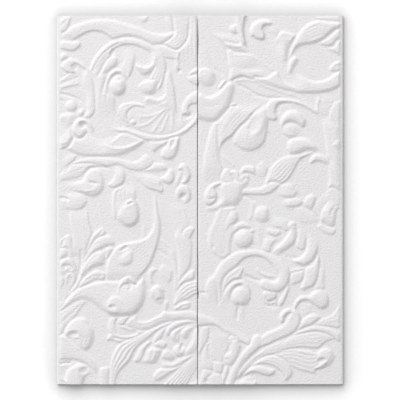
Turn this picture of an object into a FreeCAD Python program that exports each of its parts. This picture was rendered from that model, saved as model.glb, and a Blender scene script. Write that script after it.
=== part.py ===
"""Gatefold invitation card: one sheet of heavy paper, scored and folded so that two leaves meet over the front.

The sheet is a flat back panel, a round at each side fold and two unequal front leaves that spring up a
little towards the seam. The leaves are pressed with acanthus scrollwork: its main stems and bosses stand
proud in front and leave the same form hollow behind, because the paper keeps its thickness.

Frame: origin at the middle of the back panel's outer face, +X to the reader's right,
+Y to the top edge of the card, +Z out through the front leaves. Lengths are in millimetres.
"""
import FreeCAD
import Part
import math
import os

# Driving dimensions of the sheet
CARD_WIDTH = 155.6          # fold to fold
CARD_HEIGHT = 200.0
SHEET_THICKNESS = 0.4
FOLD_OUTER_RADIUS = 1.2
LEFT_LEAF_WIDTH = 76.3      # fold to free edge
SEAM_GAP = 0.4
LEAF_LIFT_DEG = 0.8         # how far a leaf springs back from flat

# Driving dimensions of the pressed scrollwork
STEM_HEIGHT = 0.85
STEM_SHOULDER = 1.1         # how far in from its edge a stem comes up to its height
BOSS_HEIGHT = 1.25
BOSS_SHOULDER = 1.5
PRESSING_ROOM = 10.0        # height above a leaf within which all of its pressing stands

# Derived sizes
HALF_WIDTH = CARD_WIDTH / 2
HALF_HEIGHT = CARD_HEIGHT / 2
FOLD_INNER_RADIUS = FOLD_OUTER_RADIUS - SHEET_THICKNESS
FOLD_X = HALF_WIDTH - FOLD_OUTER_RADIUS
LIFT = math.radians(LEAF_LIFT_DEG)
RIGHT_LEAF_WIDTH = CARD_WIDTH - SEAM_GAP - LEFT_LEAF_WIDTH
FOLD_TOP = FOLD_OUTER_RADIUS * (1 + math.cos(LIFT))
UP = FreeCAD.Vector(0, 0, 1)

# Each stem: its half width, then its middle line as shares of the card's half width and half height.
# The first three points lie on one arc, and each further point is reached by an arc that leaves the
# last one smoothly.
STEMS = (
    (2.8, (-0.90, 0.880), (-0.77, 0.935), (-0.58, 0.925), (-0.33, 0.883)),
    (2.8, (-0.74, 0.620), (-0.65, 0.800), (-0.51, 0.855), (-0.33, 0.800), (-0.27, 0.690)),
    (2.0, (-0.55, 0.440), (-0.43, 0.362), (-0.28, 0.340), (-0.08, 0.400)),
    (2.0, (-0.91, 0.175), (-0.78, 0.213), (-0.60, 0.200), (-0.42, 0.185)),
    (2.0, (-0.30, 0.030), (-0.285, -0.110), (-0.32, -0.270), (-0.43, -0.410)),
    (2.0, (-0.63, -0.430), (-0.62, -0.330), (-0.53, -0.250), (-0.37, -0.210)),
    (3.0, (-0.92, -0.580), (-0.80, -0.500), (-0.60, -0.470)),
    (3.0, (-0.92, -0.790), (-0.80, -0.840), (-0.70, -0.930)),
    (2.4, (0.03, 0.470), (0.13, 0.455), (0.215, 0.510), (0.23, 0.590)),
    (3.0, (0.67, 0.800), (0.75, 0.890), (0.93, 0.945)),
    (2.8, (0.52, 0.645), (0.68, 0.612), (0.93, 0.655)),
    (2.0, (0.48, 0.480), (0.55, 0.535), (0.66, 0.535), (0.81, 0.475)),
    (2.4, (0.12, -0.430), (0.20, -0.340), (0.36, -0.288), (0.53, -0.330), (0.60, -0.450), (0.57, -0.550)),
    (2.8, (0.22, -0.940), (0.29, -0.850), (0.40, -0.760)),
    (2.2, (0.67, -0.730), (0.80, -0.700), (0.93, -0.740)),
)

# Round bosses: the radius, then the middle as shares of the half width and half height
BOSSES = (
    (4.6, (-0.57, 0.620)),
    (4.6, (0.045, 0.663)),
    (5.4, (-0.495, -0.085)),
    (4.5, (-0.295, -0.505)),
    (4.8, (0.69, 0.290)),
    (4.8, (0.305, -0.215)),
    (4.8, (0.29, -0.510)),
    (4.8, (0.84, -0.540)),
)


def fold_point(side, radius, angle):
    """A point of the fold's round at the given angle above level, on the side -1 or +1."""
    across = side * (FOLD_X + radius * math.cos(angle))
    return FreeCAD.Vector(across, 0, FOLD_OUTER_RADIUS + radius * math.sin(angle))


def folded_half(side, leaf_width):
    """Half of the folded sheet: from the middle of the back panel round the fold to the leaf's free edge."""
    top = math.pi / 2 - LIFT
    run = (leaf_width - FOLD_OUTER_RADIUS) / math.cos(LIFT)
    along_leaf = FreeCAD.Vector(-side * math.cos(LIFT), 0, math.sin(LIFT)) * run
    edges = []
    ends = []
    for radius in (FOLD_OUTER_RADIUS, FOLD_INNER_RADIUS):
        bottom = fold_point(side, radius, -math.pi / 2)
        middle = fold_point(side, radius, -LIFT / 2)
        upper = fold_point(side, radius, top)
        panel_middle = FreeCAD.Vector(0, 0, bottom.z)
        free_edge = upper + along_leaf
        edges.append(Part.makeLine(panel_middle, bottom))
        edges.append(Part.Arc(bottom, middle, upper).toShape())
        edges.append(Part.makeLine(upper, free_edge))
        ends.append((panel_middle, free_edge))
    edges.append(Part.makeLine(ends[0][0], ends[1][0]))
    edges.append(Part.makeLine(ends[0][1], ends[1][1]))
    section = Part.Face(Part.Wire(Part.__sortEdges__(edges)))
    section.translate(FreeCAD.Vector(0, -HALF_HEIGHT, 0))
    return section.extrude(FreeCAD.Vector(0, CARD_HEIGHT, 0))


def on_card(share):
    """The point of the front that lies at these shares of the half width and half height."""
    return FreeCAD.Vector(share[0] * HALF_WIDTH, share[1] * HALF_HEIGHT, 0)


def standing_face(points):
    return Part.Face(Part.makePolygon(points + points[:1]))


def stem_section(point, outward, half_width):
    """The section of a pressed stem, standing across it: two sloping shoulders and a level top."""
    foot = outward * half_width
    brow = outward * (half_width - STEM_SHOULDER)
    return standing_face([point - foot, point - brow + UP * STEM_HEIGHT, point + brow + UP * STEM_HEIGHT, point + foot])


def round_form(point, outward, radius, shoulder, height, turn):
    """A round form with a sloping shoulder, or a sector of one that starts on the outward side."""
    top = point + UP * height
    half_section = standing_face([point, point + outward * radius, top + outward * (radius - shoulder), top])
    return half_section.revolve(point, UP, turn)


def turned(vector, angle):
    """The vector turned about the upright line, anticlockwise seen from the front."""
    return FreeCAD.Rotation(UP, math.degrees(angle)).multVec(vector)


def arc_start(first, second, third):
    """The direction in which the arc through three points leaves the first one."""
    centre = Part.Circle(first, second, third).Center
    spoke = (first - centre).normalize()
    anticlockwise = (second - first).cross(third - first).z > 0
    return turned(spoke, math.pi / 2 if anticlockwise else -math.pi / 2)


def stem_end(point, outward, half_width):
    return round_form(point, outward, half_width, STEM_SHOULDER, STEM_HEIGHT, 180)


def stem(half_width, *shares):
    """A pressed stem of even section along smooth arcs, with round ends, standing on the plane z = 0."""
    points = [on_card(share) for share in shares]
    heading = arc_start(*points[:3])
    at = points[0]
    pieces = [stem_end(at, turned(heading, math.pi / 2), half_width)]
    for target in points[2:]:
        chord = target - at
        half_turn = math.atan2(heading.cross(chord).z, heading.dot(chord))
        left = turned(heading, math.pi / 2)
        centre = at + left * (chord.Length / (2 * math.sin(half_turn)))
        axis = UP if half_turn > 0 else -UP
        section = stem_section(at, left, half_width)
        pieces.append(section.revolve(centre, axis, abs(math.degrees(2 * half_turn))))
        heading = turned(heading, 2 * half_turn)
        at = target
    pieces.append(stem_end(at, turned(heading, -math.pi / 2), half_width))
    return pieces[0].multiFuse(pieces[1:]).removeSplitter()


def boss(radius, share):
    return round_form(on_card(share), FreeCAD.Vector(1, 0, 0), radius, BOSS_SHOULDER, BOSS_HEIGHT, 360)


def leaf_field(side, leaf_width):
    """The block of space over a leaf within which its pressing stands."""
    flat_width = leaf_width - FOLD_OUTER_RADIUS
    start = FreeCAD.Vector(min(side * FOLD_X, side * (FOLD_X - flat_width)), -HALF_HEIGHT, -SHEET_THICKNESS)
    return Part.makeBox(flat_width, CARD_HEIGHT, PRESSING_ROOM, start)


def onto_leaf(shape, side, drop):
    """Carries a pressing from the plane z = 0 to the leaf's face, sunk by the given drop."""
    placed = shape.copy()
    placed.translate(FreeCAD.Vector(0, 0, -drop))
    placed.rotate(FreeCAD.Vector(side * FOLD_X, 0, 0), FreeCAD.Vector(0, 1, 0), side * LEAF_LIFT_DEG)
    placed.translate(FreeCAD.Vector(side * FOLD_OUTER_RADIUS * math.sin(LIFT), 0, FOLD_TOP))
    return placed


def folded_sheet():
    halves = [folded_half(-1, LEFT_LEAF_WIDTH), folded_half(1, RIGHT_LEAF_WIDTH)]
    sheet = halves[0].fuse(halves[1])
    pressings = [stem(*values) for values in STEMS]
    pressings += [boss(*values) for values in BOSSES]
    proud = []
    hollow = []
    for side, leaf_width in ((-1, LEFT_LEAF_WIDTH), (1, RIGHT_LEAF_WIDTH)):
        field = leaf_field(side, leaf_width)
        for pressing in pressings:
            on_this_leaf = pressing.common(field)
            if on_this_leaf.Volume > 0:
                proud.append(onto_leaf(on_this_leaf, side, 0))
                hollow.append(onto_leaf(on_this_leaf, side, SHEET_THICKNESS))
    return sheet.multiFuse(proud).cut(hollow[0].multiFuse(hollow[1:])).removeSplitter()


def main():
    os.makedirs("parts", exist_ok=True)
    sheet = folded_sheet()
    print("solids", len(sheet.Solids), "valid", sheet.isValid(), "volume", round(sheet.Volume, 2), sheet.BoundBox)
    sheet.Solids[0].exportStep("parts/folded_sheet.step")


main()
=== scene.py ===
"""A folded gatefold card of heavy white paper, pressed all over with leaf scrollwork.

The sheet is one piece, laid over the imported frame: a flat back, a round at each side and two front
leaves that almost meet at the seam. Its scrollwork is drawn form by form in a relief field in
millimetres. The mesh is in metres.
"""

import math

import bpy
import numpy as np
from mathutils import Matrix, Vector


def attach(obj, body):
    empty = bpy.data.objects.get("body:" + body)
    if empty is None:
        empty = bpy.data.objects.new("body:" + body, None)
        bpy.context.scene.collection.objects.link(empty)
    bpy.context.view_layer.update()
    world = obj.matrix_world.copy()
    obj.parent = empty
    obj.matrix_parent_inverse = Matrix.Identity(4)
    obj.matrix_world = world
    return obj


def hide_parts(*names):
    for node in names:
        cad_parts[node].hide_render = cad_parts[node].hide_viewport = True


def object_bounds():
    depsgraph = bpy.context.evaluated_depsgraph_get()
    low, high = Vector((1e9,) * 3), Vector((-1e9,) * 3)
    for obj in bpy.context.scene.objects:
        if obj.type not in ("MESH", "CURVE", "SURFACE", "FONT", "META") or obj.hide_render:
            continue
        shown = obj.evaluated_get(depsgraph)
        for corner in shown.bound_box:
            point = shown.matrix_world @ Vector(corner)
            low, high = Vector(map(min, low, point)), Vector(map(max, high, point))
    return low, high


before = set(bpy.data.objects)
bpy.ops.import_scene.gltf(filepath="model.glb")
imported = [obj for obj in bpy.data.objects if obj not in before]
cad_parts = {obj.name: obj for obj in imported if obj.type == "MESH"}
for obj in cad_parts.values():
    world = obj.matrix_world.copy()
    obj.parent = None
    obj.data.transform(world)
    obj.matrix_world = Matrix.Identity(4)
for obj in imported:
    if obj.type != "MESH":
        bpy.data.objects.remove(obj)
CAD_BOX = [list(corner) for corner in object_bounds()]
HALF_WIDTH = CAD_BOX[1][0]
HALF_HEIGHT = CAD_BOX[1][1]
CAD_TOP = CAD_BOX[1][2]
MM = 0.001

bl_info = {
    "name": "Pressed Gatefold Card",
    "version": (1, 0, 0),
    "blender": (4, 5, 0),
    "location": "3D View > Sidebar > Card",
    "description": "Builds a folded card of pressed white paper and the stage it lies on",
    "category": "Object",
}


class SheetSettings(bpy.types.PropertyGroup):
    thickness: bpy.props.FloatProperty(
        name="Paper thickness", description="Thickness of the sheet",
        default=0.4 * MM, unit="LENGTH")
    fold_radius: bpy.props.FloatProperty(
        name="Fold radius", description="Outer radius of the round at each side fold",
        default=1.2 * MM, unit="LENGTH")
    left_leaf: bpy.props.FloatProperty(
        name="Left leaf", description="Width of the left leaf, from the fold to its free edge",
        default=76.3 * MM, unit="LENGTH")
    seam_gap: bpy.props.FloatProperty(
        name="Seam gap", description="Gap between the free edges of the two leaves",
        default=0.4 * MM, unit="LENGTH")
    leaf_lift: bpy.props.FloatProperty(
        name="Leaf lift", description="How far each leaf springs up from flat",
        default=math.radians(0.8), subtype="ANGLE", unit="ROTATION")
    relief: bpy.props.FloatProperty(
        name="Relief height", description="Height of the pressing as a share of its full height",
        default=1.0, min=0.0, max=1.0, subtype="FACTOR")


class PaperSettings(bpy.types.PropertyGroup):
    colour: bpy.props.FloatVectorProperty(
        name="Paper colour", description="Colour of the uncoated paper",
        default=(0.825, 0.812, 0.821), size=3, min=0.0, max=1.0, subtype="COLOR")
    grain_size: bpy.props.FloatProperty(
        name="Grain size", description="Width of the felt marks of the paper",
        default=0.8 * MM, unit="LENGTH")
    grain_depth: bpy.props.FloatProperty(
        name="Grain depth", description="Depth of the felt marks of the paper",
        default=0.46 * MM, unit="LENGTH")


class StageSettings(bpy.types.PropertyGroup):
    floor_colour: bpy.props.FloatVectorProperty(
        name="Floor colour", description="Colour of the floor",
        default=(0.9, 0.9, 0.9), size=3, min=0.0, max=1.0, subtype="COLOR")
    floor_white: bpy.props.FloatProperty(
        name="Floor white", description="How much brighter the open floor looks to the camera than it is",
        default=1.2, min=1.0, max=2.0)
    # The soft shadow is painted into the floor's colour for the camera.
    painted_shadow_depth: bpy.props.FloatProperty(
        name="Soft shadow depth", description="How much the soft shadow beside the card darkens the floor",
        default=0.5, min=0.0, max=1.0, subtype="FACTOR")
    key_share: bpy.props.FloatProperty(
        name="Key light share", description="Share of the light on a level surface that the lamp gives",
        default=0.56, min=0.0, max=1.0, subtype="FACTOR")
    key_turn: bpy.props.FloatProperty(
        name="Key light turn", description="Direction the lamp shines from, anticlockwise from the right",
        default=math.radians(122), subtype="ANGLE", unit="ROTATION")
    key_height: bpy.props.FloatProperty(
        name="Key light height", description="Angle of the lamp above the card",
        default=math.radians(42), subtype="ANGLE", unit="ROTATION")
    key_distance: bpy.props.FloatProperty(
        name="Key light distance", description="Distance of the lamp from the card",
        default=2.4, unit="LENGTH")
    key_size: bpy.props.FloatProperty(
        name="Key light size", description="Width of the lamp",
        default=3.0, unit="LENGTH")


# ---- The relief field ----------------------------------------------------------------------------

GRID = 0.25                # spacing of the relief field, in millimetres
SOFT_REACH = 0.2           # how far the pressed paper rounds off the die's edges, in millimetres
CRISPNESS = 0.4            # how much the rims stand up and the lines sink in
CRISP_REACH = 0.8          # width of the rims and lines, in millimetres
CUT_REACH = 2.4            # the ground is cut back this far around a form, in millimetres
CUT_FLOOR = 0.12           # height that the cut leaves right beside the form, in millimetres
CUT_SLOPE = 0.42           # how fast the cut ground rises away from the form
KNOB_DOME = 0.7            # a knob's roundness, from 0.5 a half ball to 1 a low dome
FLUTE_END = 1.2            # flutes die away this near a form's edges, in millimetres
FLUTE_ROOM = 0.9           # flutes narrower than this are shallower, in millimetres
VEIN_SPREAD = 0.6          # how much of a vein's width lies between its middle and its foot
CURVE_STEP = 0.8           # spacing of the points along a drawn line, in millimetres
WINDOW_MARGIN = 1.0        # room kept round a form, in millimetres
SOFT_SPAN = 3              # the rounding off is summed over this many times its reach
LAST_SQUARE = 1.001        # keeps a place on the grid's far edge within its last square
TINY = 1e-6                # keeps a share from being divided by nothing


class Field:
    """The height of one leaf's relief over its face, in millimetres, on a square grid.

    The forms are drawn one over the other, as a die cutter cuts them: the last one lies on top."""

    def __init__(self, left, right, bottom, top):
        self.x = np.arange(left, right + GRID, GRID)
        self.y = np.arange(bottom, top + GRID, GRID)
        self.height = np.zeros((len(self.y), len(self.x)))

    def window(self, points, margin):
        """The rows, columns and places of the grid around some points."""
        low = points.min(axis=0) - margin
        high = points.max(axis=0) + margin
        columns = slice(*np.searchsorted(self.x, (low[0], high[0])))
        rows = slice(*np.searchsorted(self.y, (low[1], high[1])))
        return (rows, columns), self.x[None, columns], self.y[rows, None]

    def lobe(self, upper, lower, rise=0.85, steep=(1.5, 0.9), flutes=0, groove=0.14, fade=(0.0, 0.0),
             cut=True, roundness=0.35, wide=5.0, dish=0.0, upon=False):
        """A pressed form between an upper and a lower edge, both drawn from root to tip.

        rise: its height, or where negative how deep it sinks into what is there already.
        steep: the width of the slope at each edge.
        flutes, groove: how many grooves run along it, and how deep they are.
        fade: how long it takes to rise out of the ground at its root and at its tip.
        cut: whether the ground is cut back round it. Otherwise it merges with what is there already.
        roundness, wide: the share of the rise that is spread over a wider slope, and that slope's width.
        dish: the depth of a trough along its middle.
        upon: whether its height is added to what is there already."""
        upper_line = curve(upper)
        lower_line = curve(lower)
        outline = np.vstack([upper_line, lower_line[::-1]])
        place, x, y = self.window(outline, CUT_REACH + WINDOW_MARGIN)
        under = self.height[place]
        if not under.size:
            return
        from_upper = distance(x, y, upper_line)
        from_lower = distance(x, y, lower_line)
        within = inside(x, y, outline)
        share = from_upper / (from_upper + from_lower + TINY)
        form = rise * (1 - roundness) * shoulder(from_upper, steep[0]) * shoulder(from_lower, steep[1])
        form += rise * roundness * shoulder(from_upper, wide) * shoulder(from_lower, wide)
        if upon or rise < 0:
            form += under
        form -= dish * np.sin(np.pi * share) ** 2
        if flutes:
            wave = 0.5 + 0.5 * np.cos(2 * np.pi * share * (flutes + 1))
            room = smooth((from_upper + from_lower) / (flutes + 1) / FLUTE_ROOM)
            form -= groove * wave * room * smooth(from_upper / FLUTE_END) * smooth(from_lower / FLUTE_END)
        blend = np.ones_like(form)
        for end, length in ((0, fade[0]), (-1, fade[1])):
            if length:
                end_line = np.array([upper_line[end], lower_line[end]])
                blend *= smooth(distance(x, y, end_line) / length)
        if not cut and rise > 0 and not upon:
            form = np.maximum(form, under)
        if cut and rise > 0 and not upon:
            beside = np.minimum(from_upper, from_lower)
            under = np.where(within, under, cut_back(under, beside, blend))
        self.height[place] = np.where(within, under + (form - under) * blend, under)

    def knob(self, centre, radius, rise=1.0, squash=1.0, turn=0.0, cut=True):
        """A rounded boss."""
        place, x, y = self.window(corners(centre, radius), CUT_REACH + WINDOW_MARGIN)
        out = round_share(x, y, centre, radius, squash, turn)
        under = self.height[place]
        if cut:
            beside = np.clip(out - 1, 0, None) * radius * squash
            under = np.where(out > 1, cut_back(under, beside), under)
        form = rise * np.clip(1 - out ** 2, 0, 1) ** KNOB_DOME
        self.height[place] = np.where(out <= 1, form if cut else np.maximum(form, under), under)

    def hollow(self, centre, radius, depth=0.5, squash=1.0, turn=0.0):
        """A dent in what is there already."""
        place, x, y = self.window(corners(centre, radius), WINDOW_MARGIN)
        out = round_share(x, y, centre, radius, squash, turn)
        self.height[place] -= depth * smooth(1 - out ** 2)

    def vein(self, points, rise=0.3, width=1.0, taper=2.0):
        """A fine raised line, or a groove where the rise is negative, that dies away at both ends."""
        path = curve(points)
        place, x, y = self.window(path, 2 * width)
        first = np.hypot(x - path[0][0], y - path[0][1])
        last = np.hypot(x - path[-1][0], y - path[-1][1])
        across = np.exp(-(distance(x, y, path) / (VEIN_SPREAD * width)) ** 2)
        self.height[place] += rise * across * smooth(np.minimum(first, last) / taper)

    def veins(self, paths, **settings):
        """Several veins of one kind."""
        for points in paths:
            self.vein(points, **settings)

    def at(self, x, y, height=None):
        """The height at any places, between the grid's own points."""
        height = self.height if height is None else height
        across = np.clip((x - self.x[0]) / GRID, 0, len(self.x) - LAST_SQUARE)
        up = np.clip((y - self.y[0]) / GRID, 0, len(self.y) - LAST_SQUARE)
        column = across.astype(int)
        row = up.astype(int)
        u = across - column
        v = up - row
        lower = height[row, column] * (1 - u) + height[row, column + 1] * u
        upper = height[row + 1, column] * (1 - u) + height[row + 1, column + 1] * u
        return lower * (1 - v) + upper * v

    def soft(self, reach):
        """The field rounded off over a reach."""
        size = int(SOFT_SPAN * reach / GRID) + 1
        weights = np.exp(-0.5 * (np.arange(-size, size + 1) * GRID / reach) ** 2)
        weights /= weights.sum()
        height = self.height
        for axis in (0, 1):
            steps = shifted(height, axis, size)
            height = sum(weight * step for weight, step in zip(weights, steps))
        return height

    def finish(self):
        """Rounds off the die's edges, and raises the rims and sinks the lines between the forms."""
        self.height = self.soft(SOFT_REACH)
        self.height += CRISPNESS * (self.height - self.soft(CRISP_REACH))

    def underside(self, reach):
        """The lowest height within reach of each point, which the back of the paper stays under."""
        lowest = self.height
        for axis in (0, 1):
            lowest = np.min(list(shifted(lowest, axis, int(reach / GRID))), axis=0)
        return lowest


def shifted(height, axis, size):
    """Copies of a field, each moved one step further along an axis, from -size to +size."""
    spread = [(size, size) if side == axis else (0, 0) for side in (0, 1)]
    padded = np.pad(height, spread, mode="edge")
    count = height.shape[axis]
    return (np.take(padded, range(k, k + count), axis) for k in range(2 * size + 1))


def corners(centre, radius):
    """The lower left and upper right corners of the square round a circle."""
    return np.array([centre, centre], float) + [[-radius, -radius], [radius, radius]]


def smooth(share):
    """Eases a share in and out, from 0 to 1."""
    share = np.clip(share, 0, 1)
    return share * share * (3 - 2 * share)


def shoulder(distances, width):
    """A slope that starts steep and comes to level at its width."""
    return np.sin(np.pi / 2 * np.clip(distances / width, 0, 1))


def steps_between(a, b):
    """How many points a drawn line has between two of its own."""
    return max(2, int(np.hypot(*(b - a)) / CURVE_STEP) + 1)


def curve(points):
    """A smooth line through the points, by a centripetal Catmull-Rom spline."""
    spots = np.array(points, float)
    if len(spots) == 2:
        share = np.linspace(0, 1, steps_between(*spots))[:, None]
        return spots[0] * (1 - share) + spots[1] * share
    spots = np.vstack([2 * spots[0] - spots[1], spots, 2 * spots[-1] - spots[-2]])
    knots = np.concatenate([[0], np.cumsum(np.sqrt(np.hypot(*np.diff(spots, axis=0).T)))])
    runs = []
    for i in range(len(spots) - 3):
        a, b, c, d = spots[i:i + 4]
        ta, tb, tc, td = knots[i:i + 4]
        t = np.linspace(tb, tc, steps_between(b, c), endpoint=False)[:, None]
        ab = a + (b - a) * (t - ta) / (tb - ta)
        bc = b + (c - b) * (t - tb) / (tc - tb)
        cd = c + (d - c) * (t - tc) / (td - tc)
        first = ab + (bc - ab) * (t - ta) / (tc - ta)
        second = bc + (cd - bc) * (t - tb) / (td - tb)
        runs.append(first + (second - first) * (t - tb) / (tc - tb))
    return np.vstack(runs + [spots[-2:-1]])


def distance(x, y, path):
    """How far each place lies from a line of points."""
    best = np.full(np.broadcast(x, y).shape, np.inf)
    for a, b in zip(path[:-1], path[1:]):
        run = b - a
        length = run @ run
        if length:
            t = np.clip(((x - a[0]) * run[0] + (y - a[1]) * run[1]) / length, 0, 1)
            np.minimum(best, (x - a[0] - t * run[0]) ** 2 + (y - a[1] - t * run[1]) ** 2, out=best)
    return np.sqrt(best)


def inside(x, y, outline):
    """True at the places within a closed line of points."""
    result = np.zeros(np.broadcast(x, y).shape, bool)
    for a, b in zip(outline, np.roll(outline, -1, axis=0)):
        if a[1] != b[1]:
            crosses = (y > a[1]) != (y > b[1])
            result ^= crosses & (x < a[0] + (y - a[1]) * (b[0] - a[0]) / (b[1] - a[1]))
    return result


def cut_back(under, outside, blend=1.0):
    """Lowers the ground beside a form, so that the form's own edge shows."""
    keep = smooth(outside / CUT_REACH)
    lowered = np.minimum(under, CUT_FLOOR + CUT_SLOPE * outside) * (1 - keep) + under * keep
    return under + (lowered - under) * blend


def round_share(x, y, centre, radius, squash, turn):
    """How far out each place lies in an ellipse, as a share of its radius.

    turn is the direction of its long way, in degrees."""
    across = math.cos(math.radians(turn))
    up = math.sin(math.radians(turn))
    u = ((x - centre[0]) * across + (y - centre[1]) * up) / radius
    v = ((y - centre[1]) * across - (x - centre[0]) * up) / (radius * squash)
    return np.hypot(u, v)


# ---- The scrollwork ------------------------------------------------------------------------------
# All places and sizes are in millimetres from the card's middle, x to the right and y up.


def top_left_stem(field):
    """The broad stem that curls in over the top left corner, with its two root leaves."""
    field.lobe(
        ((-77, 88), (-74, 91), (-70, 94.3), (-65, 96.2), (-60, 97.6), (-54, 98.4), (-47, 97.9),
         (-40, 96), (-33, 93.8), (-27, 91.4), (-21, 90.4), (-14, 91.2)),
        ((-71, 85.5), (-69, 86.6), (-65, 89.2), (-61, 91.2), (-57, 91.8), (-52, 90.6), (-48, 87.9),
         (-42, 86.5), (-36, 87), (-30, 85.7), (-25, 84.3), (-20, 84.8), (-14, 84.5)),
        rise=1, steep=(1.6, 0.6), fade=(5, 0))
    field.veins(
        (((-66, 92), (-60, 94), (-52, 93.5), (-44, 90.5)),
         ((-58, 92.5), (-50, 91.5), (-42, 88.8), (-34, 89))),
        rise=-0.07, width=1)
    field.vein(((-50, 94.5), (-42, 92.8), (-34, 90), (-26, 88)), rise=-0.06, width=1)
    field.lobe(
        ((-78.5, 94.5), (-76.5, 98), (-73.5, 99.7), (-70, 100.3)),
        ((-77, 91), (-73, 91.8), (-71.2, 95), (-69.9, 99.8)),
        rise=0.8, steep=(2, 0.7), fade=(2.5, 0))
    field.vein(((-77, 93), (-74, 96), (-71.5, 99)), rise=-0.25)
    field.lobe(
        ((-79, 86.3), (-74, 86.5), (-69.5, 86.1), (-66.5, 86.4), (-64.6, 85.6)),
        ((-78, 83.2), (-74, 81.8), (-70, 80.8), (-67, 81.8), (-65, 84), (-64.6, 85.3)),
        rise=1, steep=(1.2, 0.8), fade=(4, 0))


def edge_curls(field):
    """The curled leaf, the ball and the fine lines at the left edge, above the twin stems."""
    field.lobe(
        ((-79, 62.5), (-75, 66), (-71, 68.6), (-67.5, 69.7)),
        ((-79, 58), (-74, 60), (-69, 61.7), (-64.5, 62.8)),
        rise=0.3, steep=(2, 2), fade=(3, 3))
    field.knob((-74, 77.6), 2.4, rise=0.95)
    field.lobe(
        ((-60.5, 71), (-63.2, 74), (-66.5, 76.3), (-70, 77.2), (-73.5, 76.1), (-75.8, 73)),
        ((-62, 70.4), (-65, 72.6), (-67.5, 74), (-69.4, 72.8), (-69, 71), (-67.9, 69.6), (-70.5, 68.9),
         (-73, 69.7), (-75.4, 72)),
        rise=1.2, steep=(1.7, 0.7), fade=(2, 0), roundness=0.5)
    field.hollow((-67.6, 71.8), 1.6, 0.35, squash=0.7, turn=60)
    for path, rise in (
            (((-78.5, 60.2), (-72, 62), (-65, 63.4)), 0.28),
            (((-78.5, 62), (-72, 64.5), (-65.5, 67)), -0.25),
            (((-78.5, 63.3), (-73.5, 66.3), (-68, 70)), 0.3),
            (((-77, 64.6), (-72.5, 68), (-70, 69.5)), -0.15)):
        field.vein(path, rise=rise, width=1.1, taper=1.5)
    field.vein(((-78, 58.4), (-74, 57.4), (-70, 56.4), (-66.5, 55), (-64, 53)), rise=-0.5, width=0.9)
    field.vein(((-78, 54.8), (-75.5, 54.4), (-73.5, 53)), rise=-0.45, width=0.9)


def twin_stems(field):
    """The two stems side by side that carry the great ring."""
    field.lobe(
        ((-62.5, 72.5), (-63.9, 67), (-63.6, 63), (-61.9, 59), (-61.3, 55), (-62, 51.3), (-61.5, 48.7),
         (-63.2, 46)),
        ((-59.5, 72.5), (-58.2, 68), (-57.1, 63), (-56.9, 57), (-57, 51.5), (-57, 48.7), (-58.2, 46.2),
         (-60.5, 44.4), (-63.5, 45)),
        rise=0.95, steep=(1.8, 0.9), fade=(5, 0), roundness=0.5)
    field.knob((-64.3, 47.6), 2.4, rise=0.8, squash=0.75, turn=40)
    field.vein(((-64.3, 48.9), (-62.8, 47.9), (-63.2, 46.6)), rise=-0.5, width=0.8, taper=0.8)
    field.knob((-70, 51), 3.2, rise=1)


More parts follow.
